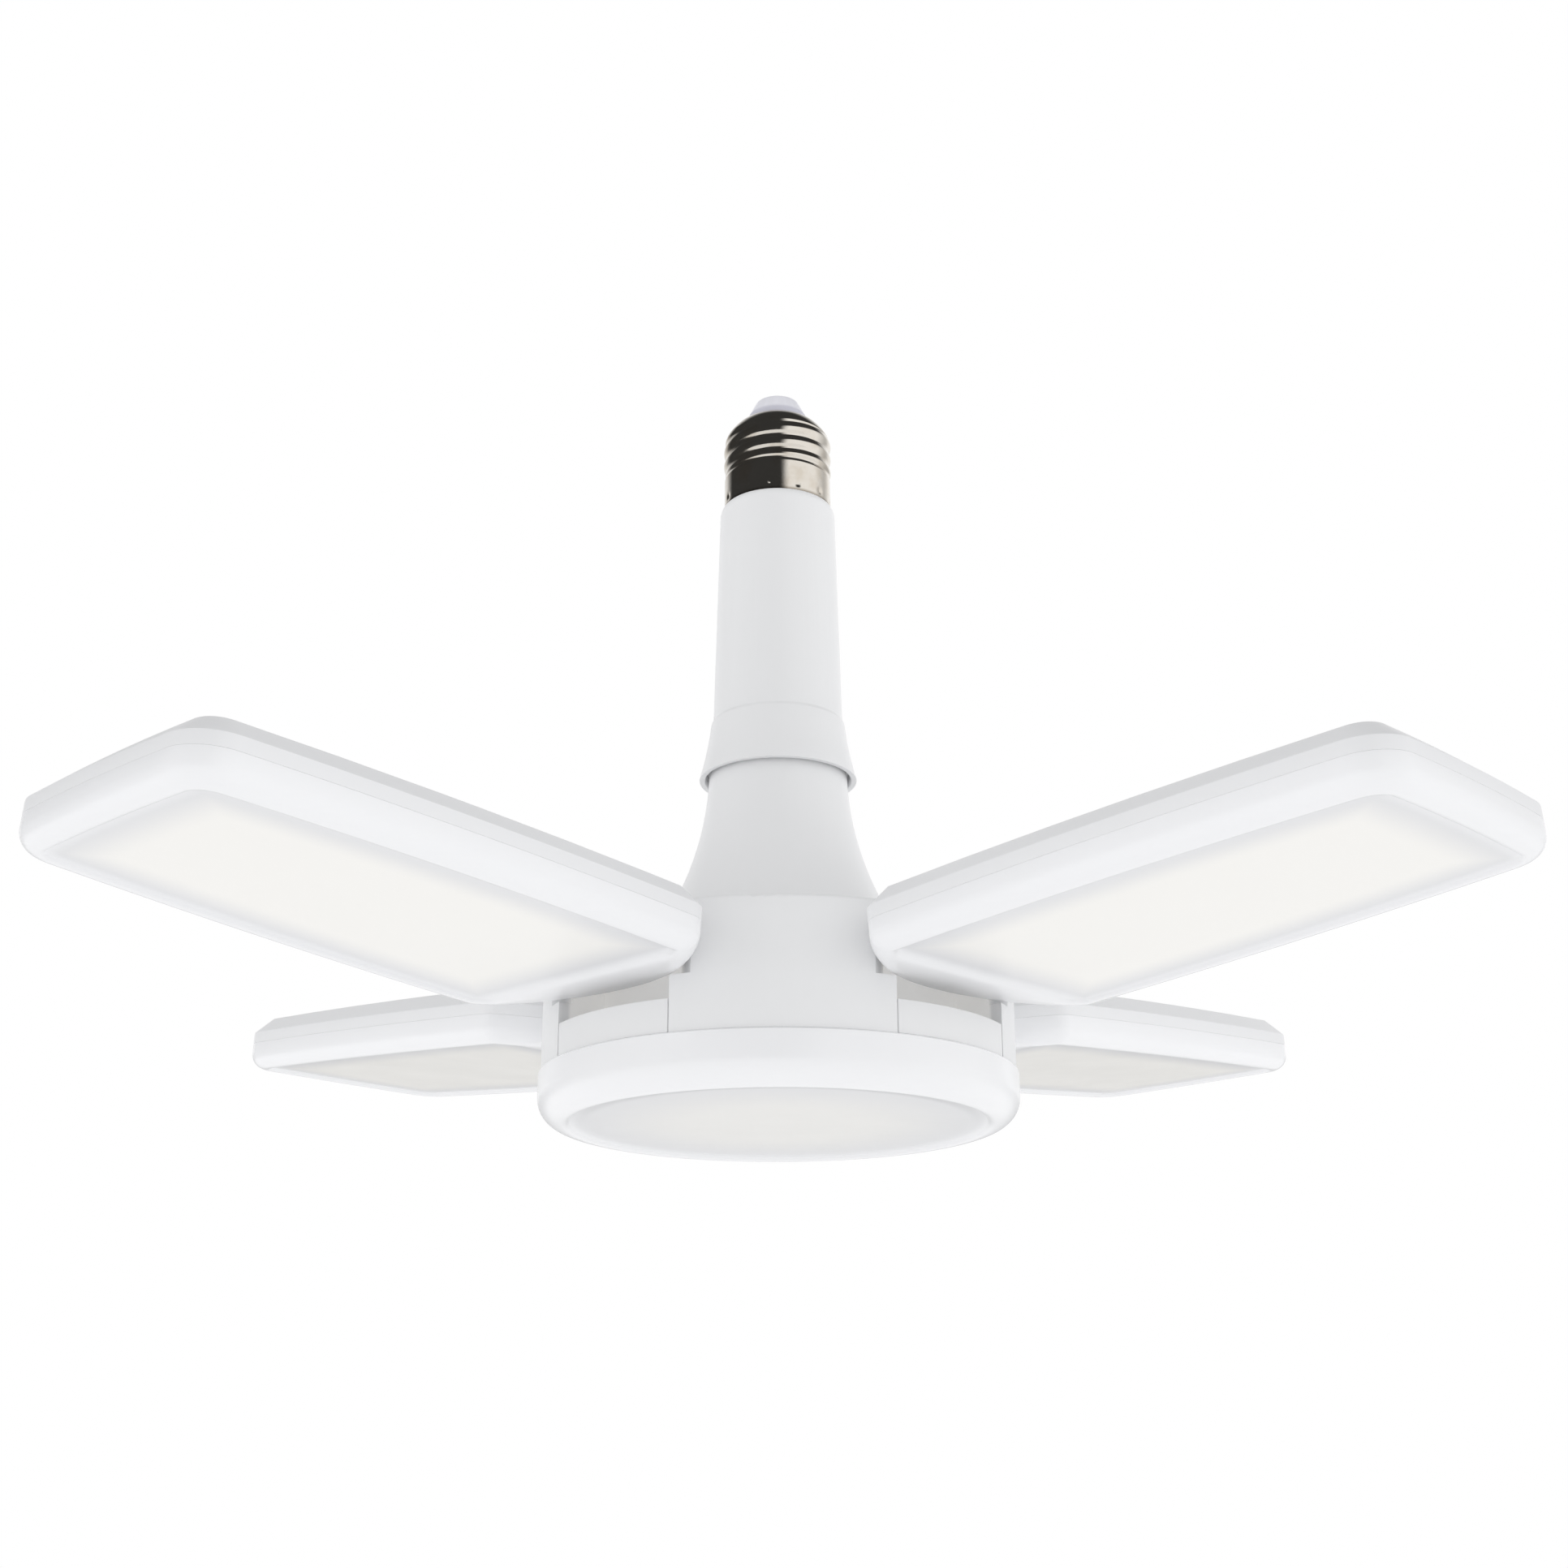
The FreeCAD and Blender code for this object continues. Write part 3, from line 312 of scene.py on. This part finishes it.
def winding():
    """Enamelled copper wire, wound in close turns."""
    finish = Finish("winding", Metallic=0.8, Roughness=0.3)
    turns = (finish.split(finish.place(), "Z") * 12000.0).wave()
    finish.feed("Base Color", finish.mix(turns.step(-0.8, 0.4), colour(0.24, 0.09, 0.03),
                                         colour(0.62, 0.30, 0.14)))
    finish.bump(turns, 0.5, 0.0002)
    return finish.material


# The housing's bay walls get painted light.
HOUSING = white_plastic("housing_white", (0.845, 0.85, 0.86), painted_bay_light=True)
LEAF_BACK = white_plastic("leaf_white", (0.835, 0.84, 0.855), 2300.0)
# Both lenses' panels carry painted shade and painted light in their colour.
LEAF_LENS = lens_plastic("leaf_lens", lambda finish: finish.attribute("edge_depth"), rim=0.0052,
                         warm_from=0.0058, warm_to=0.017, lamp_share=0.1)
LENS_RADIUS = 53.2
ROUND_LENS = lens_plastic("round_lens", lambda finish: LENS_RADIUS * MM - finish.radius(), rim=0.0068,
                          warm_from=0.008, warm_to=0.036, lamp_share=0.035)
BY_SLOT = {
    "shell_metal": nickel(), "insulator": glazed_cone(),
    "contact_metal": metal("tinned_contact", (0.66, 0.66, 0.65), 0.25),
    "housing_plastic": HOUSING, "leaf_plastic": LEAF_BACK, "milky_lens": LEAF_LENS,
    "heat_aluminium": metal("stamped_aluminium", (0.78, 0.78, 0.79), 0.3, (0.1, 1.0, 1.0)),
    "lamp_board": board_white("lamp_board_mask"), "led_chip": phosphor(),
    "screw_steel": metal("zinc_screw", (0.62, 0.62, 0.60), 0.28),
    "pin_steel": metal("ground_pin", (0.60, 0.60, 0.60), 0.16, (1.0, 1.0, 0.1)),
    "washer_plastic": dull_plastic("natural_nylon", (0.78, 0.77, 0.73), 0.4),
    "driver_board": circuit_green(),
    "capacitor_can": dull_plastic("capacitor_sleeve", (0.05, 0.06, 0.09), 0.25),
    "copper_coil": winding(),
    "film_case": dull_plastic("film_case", (0.62, 0.40, 0.10), 0.3),
    "black_epoxy": dull_plastic("black_epoxy", (0.03, 0.03, 0.03), 0.5),
    "terminal_plastic": dull_plastic("terminal_nylon", (0.80, 0.80, 0.77), 0.42),
    "wire_jacket": dull_plastic("wire_jacket", (0.74, 0.74, 0.72), 0.45),
}
SLOT_OF = {entry["node"]: entry["material_slot"] for entry in frame["record"]["subparts"]}
BODY_OF = {node: body for body, nodes in frame["record"]["behaviour"]["bodies"].items() for node in nodes}


# ---------------------------------------------------------------- making pieces

def finished(piece, node, material):
    """Gives a new piece its material and body, and hides the solid it stands for."""
    bpy.context.scene.collection.objects.link(piece)
    piece.data.materials.clear()
    piece.data.materials.append(material)
    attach(piece, BODY_OF[node])
    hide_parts(node)
    return piece


def plain_mesh(piece):
    """Turns the piece's modifiers into plain geometry."""
    shown = bpy.context.scene.collection.objects
    if piece.name not in shown:
        shown.link(piece)
    graph = bpy.context.evaluated_depsgraph_get()
    piece.data = bpy.data.meshes.new_from_object(piece.evaluated_get(graph))
    piece.modifiers.clear()
    shown.unlink(piece)
    return piece


def smooth(mesh, angle=35.0):
    """Smooth shading, with edges sharper than the angle in degrees kept sharp."""
    for face in mesh.polygons:
        face.use_smooth = True
    mesh.set_sharp_from_angle(angle=math.radians(angle))


MERGE, RING_MERGE = 0.002, 0.0005          # points nearer than this become one
FLAT_ANGLE, EDGE_ANGLE = 0.5, 30.0         # degrees: flatter is one face, sharper is an edge


def softened(node, material, edge):
    """The solid's own shape with its sharp edges rounded by a small bevel."""
    mesh = frame["nodes"][node].data.copy()
    edit = bmesh.new()
    edit.from_mesh(mesh)
    bmesh.ops.remove_doubles(edit, verts=edit.verts, dist=MERGE * MM)
    bmesh.ops.dissolve_limit(edit, angle_limit=math.radians(FLAT_ANGLE), verts=edit.verts,
                             edges=edit.edges)
    edit.to_mesh(mesh)
    edit.free()
    piece = bpy.data.objects.new(f"{node}_skin", mesh)
    bevel = piece.modifiers.new("rounded_edges", "BEVEL")
    bevel.width = edge * MM
    bevel.segments = 3
    bevel.limit_method = "ANGLE"
    bevel.angle_limit = math.radians(EDGE_ANGLE)
    bevel.use_clamp_overlap = True
    plain_mesh(piece)
    smooth(piece.data, EDGE_ANGLE)
    return finished(piece, node, material)


def ring_stack(name, rings, looped=False, depths=None):
    """Skin through rings of points; the end rings are filled unless the stack closes on itself.

    depths, one for each ring, is how far in from the outline that ring is."""
    edit = bmesh.new()
    layer = edit.verts.layers.float.new("edge_depth")
    rows = []
    for index, ring in enumerate(rings):
        row = [edit.verts.new(Vector(point) * MM) for point in ring]
        for vert in row:
            vert[layer] = depths[index] * MM if depths else 0.0
        rows.append(row)
    following_rows = rows[1:] + rows[:1] if looped else rows[1:]
    for low, high in zip(rows, following_rows):
        for index in range(len(low)):
            following = (index + 1) % len(low)
            edit.faces.new((low[index], low[following], high[following], high[index]))
    if not looped:
        edit.faces.new(list(reversed(rows[0])))
        edit.faces.new(rows[-1])
    bmesh.ops.remove_doubles(edit, verts=edit.verts, dist=RING_MERGE * MM)
    bmesh.ops.recalc_face_normals(edit, faces=edit.faces)
    mesh = bpy.data.meshes.new(name)
    edit.to_mesh(mesh)
    edit.free()
    smooth(mesh)
    return bpy.data.objects.new(name, mesh)


SEGMENTS = 160            # points in a ring about the light's axis


def circle_ring(radius, height):
    """Ring about the light's axis; the radius may be a function of the angle."""
    ring = []
    for index in range(SEGMENTS):
        angle = math.tau * index / SEGMENTS
        reach = radius(angle) if callable(radius) else radius
        ring.append((reach * math.cos(angle), reach * math.sin(angle), height - CAP_SEAT))
    return ring


def arc_points(centre, radius, start, stop, count):
    """Points on an arc in the profile plane, angles in degrees."""
    points = []
    for index in range(count + 1):
        angle = math.radians(start + (stop - start) * index / count)
        points.append((centre[0] + radius * math.cos(angle), centre[1] + radius * math.sin(angle)))
    return points


# ---------------------------------------------------------------- centre lens

LENS_RIM, LENS_WALL, LENS_ROUND = 11.0, 1.5, 5.7
PANEL_DEPTH = 0.7         # how far the lit panel lies inside the rim of its lens
MIDDLE = 0.02             # radius of the smallest ring, which closes the dish
RIM_BREAK = 0.3           # chamfer on the upper rim
RIM_TO_PANEL = ((0.5, 0.05), (1.0, 0.3), (1.3, 0.55), (1.7, PANEL_DEPTH))   # in from the flat, up
PANEL_RINGS = (42.0, 36.0, 28.0, 18.0, 8.0, MIDDLE)


def centre_lens():
    """Round dish: rounded rim with the flat panel lying a little inside it."""
    flat = LENS_RADIUS - LENS_ROUND
    inside = LENS_RADIUS - LENS_WALL
    profile = [(MIDDLE, LENS_WALL + PANEL_DEPTH), (flat, LENS_WALL + PANEL_DEPTH)]
    profile += arc_points((flat, LENS_ROUND), LENS_ROUND - LENS_WALL, -80, 0, 8)
    profile += [(inside, LENS_RIM - RIM_BREAK), (inside + RIM_BREAK, LENS_RIM),
                (LENS_RADIUS - RIM_BREAK, LENS_RIM), (LENS_RADIUS, LENS_RIM - RIM_BREAK)]
    profile += arc_points((flat, LENS_ROUND), LENS_ROUND, 0, -90, 16)
    profile += [(flat - inward, height) for inward, height in RIM_TO_PANEL]
    profile += [(reach, PANEL_DEPTH) for reach in PANEL_RINGS]
    piece = ring_stack("centre_lens_skin", [circle_ring(radius, height) for radius, height in profile])
    return finished(piece, "centre_lens", ROUND_LENS)


# ---------------------------------------------------------------- screw cap

BAND_RADIUS, BAND_TOP, BAND_BLEND = 12.9, CAP_SEAT + 8.2, 0.6
THREAD_ROOT, THREAD_CREST, THREAD_PITCH, THREAD_TOP = 12.55, 13.09, 3.63, 169.3
THREAD_START, THREAD_END = 1.6, 1.2       # heights over which the thread grows out and dies away
CREST_POWER = 0.75                        # below 1 the crests are fuller than the troughs
THREAD_ROWS = 120
SHELL_TOP, SHELL_TIP, DOME_ARC, SHELL_WALL = 174.3, 7.5, 11.5, 0.4
CRIMPS, CRIMP_TURN, CRIMP_HEIGHT, CRIMP_DEPTH = 12, math.radians(6.4), 152.0, 0.35
CRIMP_WIDE, CRIMP_HIGH = 0.55, 0.8


def eased(value, low, high):
    """0 below low, 1 above high, and eased between them."""
    share = min(max((value - low) / (high - low), 0.0), 1.0)
    return share * share * (3 - 2 * share)


def shell_reach(height):
    """Radius of the shell at a height, as a function of the angle: crimps below, helix above."""
    def reach(angle):
        if height < BAND_TOP - BAND_BLEND:
            nearest = ((angle - CRIMP_TURN) * CRIMPS / math.tau) % 1.0 - 0.5
            aside = nearest * math.tau * BAND_RADIUS / CRIMPS
            dent = math.exp(-(aside / CRIMP_WIDE) ** 2 - ((height - CRIMP_HEIGHT) / CRIMP_HIGH) ** 2)
            return BAND_RADIUS - CRIMP_DEPTH * dent
        turns = (height - BAND_TOP) / THREAD_PITCH - angle / math.tau
        ridge = (0.5 - 0.5 * math.cos(math.tau * turns)) ** CREST_POWER
        grown = eased(height, BAND_TOP, BAND_TOP + THREAD_START)
        shown = grown * (1.0 - eased(height, THREAD_TOP - THREAD_END, THREAD_TOP))
        narrowed = eased(height, BAND_TOP - BAND_BLEND, BAND_TOP + BAND_BLEND)
        root = BAND_RADIUS + (THREAD_ROOT - BAND_RADIUS) * narrowed
        return root + (THREAD_CREST - THREAD_ROOT) * ridge * shown
    return reach


def screw_shell():
    """Rolled screw shell with a true helix, crimped on to the neck below."""
    heights = [CAP_SEAT + (THREAD_TOP - CAP_SEAT) * row / THREAD_ROWS for row in range(THREAD_ROWS + 1)]
    rings = [circle_ring(shell_reach(height), height) for height in heights]
    half = math.hypot(THREAD_ROOT - SHELL_TIP, SHELL_TOP - THREAD_TOP) / 2
    rise = math.sqrt(DOME_ARC ** 2 - half ** 2)
    middle = ((THREAD_ROOT + SHELL_TIP) / 2, (THREAD_TOP + SHELL_TOP) / 2)
    away = ((SHELL_TOP - THREAD_TOP) / (2 * half), (THREAD_ROOT - SHELL_TIP) / (2 * half))
    centre = (middle[0] - away[0] * rise, middle[1] - away[1] * rise)
    start = math.degrees(math.atan2(THREAD_TOP - centre[1], THREAD_ROOT - centre[0]))
    stop = math.degrees(math.atan2(SHELL_TOP - centre[1], SHELL_TIP - centre[0]))
    dome = arc_points(centre, DOME_ARC, start, stop, 16)
    rings += [circle_ring(radius, height) for radius, height in dome[1:]]
    under = arc_points(centre, DOME_ARC - SHELL_WALL, stop, start, 10)
    rings += [circle_ring(radius, height) for radius, height in under]
    inside = THREAD_ROOT - SHELL_WALL
    rings += [circle_ring(inside, THREAD_TOP - 1.0), circle_ring(inside, CAP_SEAT)]
    return finished(ring_stack("screw_shell_skin", rings, looped=True), "screw_shell",
                    BY_SLOT["shell_metal"])


# ---------------------------------------------------------------- leaf lenses

# A leaf's own frame is at its hinge pin: out along the leaf, across it, and up.
TIP, END, HALF_WIDTH, WIDEST = -7.0, 119.1, 36.2, 28.0
SIDE_ARC, TIP_ARC, END_ARC = 880.0, 52.0, 500.0
TIP_CORNER, END_CORNER, LEAST_CORNER = 5.2, 9.5, 1.0
PARTING, LENS_FOOT, LENS_EDGE, LEAF_WALL = -6.1, -12.5, 4.0, 1.8
BEVEL_START, BEVEL_SLOPE, BEVEL_BLOCK = 6.0, 2.2 / 14.0, 6.0
ARC_POINTS = (22, 10, 44, 8, 30, 8, 44, 10)          # points in each of the outline's arcs
LEAF_PANEL_RINGS = (8.0, 11.0, 14.0, 18.0, 22.0, 28.0)
PANEL_SLACK = 2.7         # those rings stop past the crease by their inset less this


def crossing(first, first_reach, second, second_reach, side):
    """Where two circles cross, on the wanted side."""
    gap = second - first
    along = (first_reach ** 2 - second_reach ** 2 + gap.length ** 2) / (2 * gap.length)
    aside = math.sqrt(first_reach ** 2 - along ** 2)
    direction = gap.normalized()
    foot = first + direction * along
    normal = Vector((-direction.y, direction.x)) * aside
    return max((foot + normal, foot - normal), key=lambda point: point.x * side)


def leaf_outline(inset, tip_shift=0.0):
    """The leaf's plan drawn in by the inset: eight tangent arcs with a fixed number of points each."""
    tip, end = Vector((TIP + TIP_ARC + tip_shift, 0.0)), Vector((END - END_ARC, 0.0))
    upper, lower = Vector((WIDEST, HALF_WIDTH - SIDE_ARC)), Vector((WIDEST, SIDE_ARC - HALF_WIDTH))
    side, ends, tips = SIDE_ARC - inset, END_ARC - inset, TIP_ARC - inset
    end_corner, tip_corner = max(END_CORNER - inset, LEAST_CORNER), max(TIP_CORNER - inset, LEAST_CORNER)
    end_up = crossing(upper, side - end_corner, end, ends - end_corner, 1)
    tip_up = crossing(upper, side - tip_corner, tip, tips - tip_corner, -1)
    end_down, tip_down = Vector((end_up.x, -end_up.y)), Vector((tip_up.x, -tip_up.y))
    arcs = [(end, ends), (end_up, end_corner), (upper, side), (tip_up, tip_corner), (tip, tips),
            (tip_down, tip_corner), (lower, side), (end_down, end_corner)]
    joints = []
    for index, (centre, radius) in enumerate(arcs):
        following, next_radius = arcs[(index + 1) % len(arcs)]
        big, small, reach = ((centre, following, radius) if radius > next_radius
                             else (following, centre, next_radius))
        joints.append(big + (small - big).normalized() * reach)
    points = []
    for index, (centre, radius) in enumerate(arcs):
        start, stop = joints[index - 1] - centre, joints[index] - centre
        first, last = math.atan2(start.y, start.x), math.atan2(stop.y, stop.x)
        sweep = (last - first) % math.tau
        for step in range(ARC_POINTS[index]):
            angle = first + sweep * step / ARC_POINTS[index]
            points.append((centre.x + radius * math.cos(angle), centre.y + radius * math.sin(angle)))
    return points


def lens_ring(inset, height, cut_at=None, tip_shift=0.0):
    """One ring of the lens; past the crease the foot rises, and cut_at stops the panel before it."""
    ring = []
    for out, across in leaf_outline(inset, tip_shift):
        if cut_at is not None:
            out = max(out, cut_at)
        lowest = LENS_FOOT + max(BEVEL_START - out, 0.0) * BEVEL_SLOPE
        ring.append((out, across, max(height, lowest)))
    return ring


def leaf_place(azimuth):
    """From a leaf's own frame, at its hinge pin, to the light's frame."""
    reach = math.radians(azimuth)
    pin = Vector((HINGE_RADIUS * math.cos(reach), HINGE_RADIUS * math.sin(reach), HINGE_HEIGHT - CAP_SEAT))
    turn = Matrix.Rotation(reach, 4, "Z") @ Matrix.Rotation(-math.radians(REST_TILT), 4, "Y")
    return Matrix.Translation(pin * MM) @ turn


def leaf_lens(leaf, azimuth):
    """Milky tray with a rounded edge, a bevelled inner end and a panel inside its rim."""
    top = LENS_FOOT + LENS_EDGE
    floor = LENS_FOOT + PANEL_DEPTH
    inside = [(LENS_EDGE, LENS_FOOT + LEAF_WALL, None, BEVEL_BLOCK), (LEAF_WALL + 1.0, top - 1.0),
              (LEAF_WALL, top), (LEAF_WALL, PARTING - 0.2)]
    rim = [(LEAF_WALL - 0.2, PARTING), (0.12, PARTING), (0.03, PARTING - 0.03), (0.0, PARTING - 0.12)]
    outside = [(0.0, top + 0.5)] + arc_points((LENS_EDGE, top), LENS_EDGE, 180, 270, 14)
    step_in = [(4.6, LENS_FOOT + 0.05, BEVEL_START), (5.0, LENS_FOOT + 0.3, BEVEL_START + 1.2),
               (5.3, LENS_FOOT + 0.55, BEVEL_START + 2.0), (5.7, floor, BEVEL_START + 3.0)]
    panel = [(inset, floor, BEVEL_START + inset - PANEL_SLACK) for inset in LEAF_PANEL_RINGS]
    steps = inside + rim + outside + step_in + panel
    rings = [lens_ring(*step) for step in steps]
    depths = [step[0] for step in steps]
    piece = ring_stack(f"{leaf}_lens_skin", rings, depths=depths)
    piece.data.transform(leaf_place(azimuth))
    return finished(piece, f"{leaf}_lens", LEAF_LENS)


# ---------------------------------------------------------------- repeated small pieces

def copies_tree():
    """Geometry nodes: the piece's own mesh, repeated on a grid of points."""
    tree = bpy.data.node_groups.new("copies_on_grid", "GeometryNodeTree")
    face = tree.interface
    for name, kind in (("Geometry", "NodeSocketGeometry"), ("Rows", "NodeSocketInt"),
                       ("Columns", "NodeSocketInt"), ("Length", "NodeSocketFloat"),
                       ("Width", "NodeSocketFloat"), ("Centre", "NodeSocketVector"),
                       ("Finish", "NodeSocketMaterial")):
        face.new_socket(name, in_out="INPUT", socket_type=kind)
    face.new_socket("Geometry", in_out="OUTPUT", socket_type="NodeSocketGeometry")
    start, end = tree.nodes.new("NodeGroupInput"), tree.nodes.new("NodeGroupOutput")

    def link(source, output, target, socket):
        tree.links.new(source.outputs[output], target.inputs[socket])

    grid = tree.nodes.new("GeometryNodeMeshGrid")
    moved = tree.nodes.new("GeometryNodeTransform")
    placed = tree.nodes.new("GeometryNodeInstanceOnPoints")
    real = tree.nodes.new("GeometryNodeRealizeInstances")
    dressed = tree.nodes.new("GeometryNodeSetMaterial")
    link(start, "Length", grid, "Size X")
    link(start, "Width", grid, "Size Y")
    link(start, "Rows", grid, "Vertices X")
    link(start, "Columns", grid, "Vertices Y")
    link(grid, "Mesh", moved, "Geometry")
    link(start, "Centre", moved, "Translation")
    link(moved, "Geometry", placed, "Points")
    link(start, "Geometry", placed, "Instance")
    link(placed, "Instances", real, "Geometry")
    link(real, "Geometry", dressed, "Geometry")
    link(start, "Finish", dressed, "Material")
    link(dressed, "Geometry", end, "Geometry")
    return tree


COPIES = copies_tree()


def on_grid(piece, rows, columns, length, width, centre, material):
    """Fills in the tree's inputs for one piece and makes the result plain."""
    values = {"Rows": rows, "Columns": columns, "Length": length * MM, "Width": width * MM,
              "Centre": Vector(centre) * MM, "Finish": material}
    modifier = piece.modifiers.new("copies", "NODES")
    modifier.node_group = COPIES
    for item in COPIES.interface.items_tree:
        if item.in_out == "INPUT" and item.name in values:
            modifier[item.identifier] = values[item.name]
    return plain_mesh(piece)


CHIP_LONG, CHIP_WIDE, CHIP_HIGH = 3.0, 2.6, 0.8
CHIP_PROFILE = ((1.0, 1.0), (1.0, 0.15), (0.9, 0.0), (0.72, 0.0), (0.66, 0.12), (0.3, 0.06))
SCREW_HEAD, HEAD_HEIGHT, SCREW_SHANK, SCREW_LENGTH, SCREW_SIDES = 2.2, 0.8, 1.2, 3.2, 24
HEAD_PROFILE = ((1.0, 0.0), (1.0, -0.6), (0.75, -1.0), (0.34, -1.0), (0.26, -0.45))


def chip_block(name):
    """A light emitter: a shallow cup with a sunken face below."""
    rings = []
    for share, height_share in CHIP_PROFILE:
        x, y, height = CHIP_LONG / 2 * share, CHIP_WIDE / 2 * share, CHIP_HIGH * height_share
        rings.append([(-x, -y, height), (x, -y, height), (x, y, height), (-x, y, height)])
    return ring_stack(name, rings)


def pan_screw(name):
    """A small screw, head down, with a sunken middle."""
    profile = [(SCREW_SHANK, SCREW_LENGTH), (SCREW_SHANK, 0.0)]
    profile += [(SCREW_HEAD * share, HEAD_HEIGHT * height_share) for share, height_share in HEAD_PROFILE]
    turns = [math.tau * side / SCREW_SIDES for side in range(SCREW_SIDES)]
    return ring_stack(name, [[(radius * math.cos(turn), radius * math.sin(turn), height) for turn in turns]
                             for radius, height in profile])


def leaf_small_pieces(leaf, azimuth):
    """Two rows of emitters and four board screws in each leaf."""
    chips = on_grid(chip_block(f"{leaf}_chips"), rows=8, columns=2, length=84.0, width=24.0,
                    centre=(65.5, 0.0, -5.5), material=BY_SLOT["led_chip"])
    chips.data.transform(leaf_place(azimuth))
    finished(chips, f"{leaf}_leds", BY_SLOT["led_chip"])
    screws = on_grid(pan_screw(f"{leaf}_board_screws"), rows=2, columns=2, length=65.0, width=40.0,
                     centre=(62.5, 0.0, -4.75), material=BY_SLOT["screw_steel"])
    screws.data.transform(leaf_place(azimuth))
    finished(screws, f"{leaf}_screws", BY_SLOT["screw_steel"])


# ---------------------------------------------------------------- the light's pieces

for name, node in frame["nodes"].items():
    node.data.materials.clear()
    node.data.materials.append(BY_SLOT[SLOT_OF[name]])

SOFT_EDGES = {"neck_tube": 0.25, "hub_body": 0.3, "lower_frame": 0.15, "cap_insulator": 0.3,
              "centre_contact": 0.1, "swivel_nut": 0.2}
COVER_EDGE = 0.12

for name, edge in SOFT_EDGES.items():
    softened(name, BY_SLOT[SLOT_OF[name]], edge)
centre_lens()
screw_shell()
for leaf, azimuth in LEAVES.items():
    leaf_lens(leaf, azimuth)
    softened(f"{leaf}_cover", LEAF_BACK, COVER_EDGE)
    leaf_small_pieces(leaf, azimuth)


# ---------------------------------------------------------------- camera, light and floor

CAMERA_ASIDE, CAMERA_BACK, CAMERA_DROP = 1.376, 465.83, 80.18     # from the axis, below the lens
CAMERA_PITCH, CAMERA_ROLL, OBJECT_TURN = 0.33162, -0.0031, 0.02202       # radians
FOCAL_PIXELS, PHOTO_SIDE, SENSOR = 2606.5, 1932, 36.0
CLIP_NEAR, CLIP_FAR = 0.01, 100.0                                        # metres
FLOOR_HEIGHT, FLOOR_HALF, FLOOR_LIGHT = -0.55, 2.6, 0.28


def add_camera():
    """The photo's own viewpoint, found from the outlines in it."""
    camera = bpy.data.objects.new("camera", bpy.data.cameras.new("camera"))
    bpy.context.scene.collection.objects.link(camera)
    camera.data.sensor_width = SENSOR
    camera.data.lens = FOCAL_PIXELS / PHOTO_SIDE * SENSOR
    camera.data.clip_start, camera.data.clip_end = CLIP_NEAR, CLIP_FAR
    turn = Matrix.Rotation(-OBJECT_TURN, 4, "Z")
    place = turn @ Vector((CAMERA_ASIDE, -CAMERA_BACK, -CAMERA_DROP - CAP_SEAT)) * MM
    aim = turn @ Matrix.Rotation(math.pi / 2 + CAMERA_PITCH, 4, "X") @ Matrix.Rotation(CAMERA_ROLL, 4, "Z")
    camera.matrix_world = Matrix.Translation(place) @ aim
    bpy.context.scene.camera = camera


class Sky(Finish):
    """The studio around the light: the same sums as a material, but for the world."""

    def __init__(self):
        world = bpy.data.worlds.new("studio")
        world.use_nodes = True
        bpy.context.scene.world = world
        self.nodes, self.links = world.node_tree.nodes, world.node_tree.links
        self.shader = self.nodes["Background"]

    def along(self, axis):
        direction = self.node("ShaderNodeTexCoord", output="Generated")
        return self.split(direction, axis)


def add_studio():
    """White room: brighter at the sides, darker in front and above.

    Mirror reflections see a window on the right and a wall behind, which is darker at the
    horizon; the camera sees plain white."""
    sky = Sky()
    side, back, up = sky.along("X"), sky.along("Y"), sky.along("Z")
    front, above = (0.0 - back).positive(), up.positive()
    soft = 1.19 + side * side * 0.26 - front * front * 0.3 - above * above * 0.8
    window = side.step(0.08, 0.4) * (1.0 - up.step(0.56, 0.74))
    below_horizon, over_horizon = 1.0 - up.step(-0.19, -0.14), up.step(0.05, 0.2)
    behind = back.step(0.4, 0.85) * (0.3 + below_horizon * 0.75 + over_horizon * 0.6)
    mirrored = window * 1.05 * (1.0 - back.positive()) + behind + 0.04
    glossy = sky.node("ShaderNodeLightPath", output="Is Glossy Ray")
    camera = sky.node("ShaderNodeLightPath", output="Is Camera Ray")
    level = soft + glossy * (mirrored - soft)
    sky.feed("Strength", level + camera * (1.0 - level))
    sky.shader.inputs["Color"].default_value = WHITE


def add_floor():
    """Plain pale floor under the hanging light."""
    finish = Finish("pale_floor", Roughness=0.6, Emission_Color=WHITE, Emission_Strength=FLOOR_LIGHT)
    grain = finish.noise(3.0)
    finish.feed("Base Color", finish.mix(grain, colour(0.86, 0.86, 0.86), colour(0.9, 0.9, 0.9)))
    mesh = bpy.data.meshes.new("floor")
    corners = [(x * FLOOR_HALF, y * FLOOR_HALF, FLOOR_HEIGHT)
               for x, y in ((-1, -1), (1, -1), (1, 1), (-1, 1))]
    mesh.from_pydata(corners, [], [(0, 1, 2, 3)])
    mesh.materials.append(finish.material)
    floor = bpy.data.objects.new("floor", mesh)
    bpy.context.scene.collection.objects.link(floor)


bpy.context.scene.view_settings.view_transform = "Standard"
add_camera()
add_studio()
add_floor()
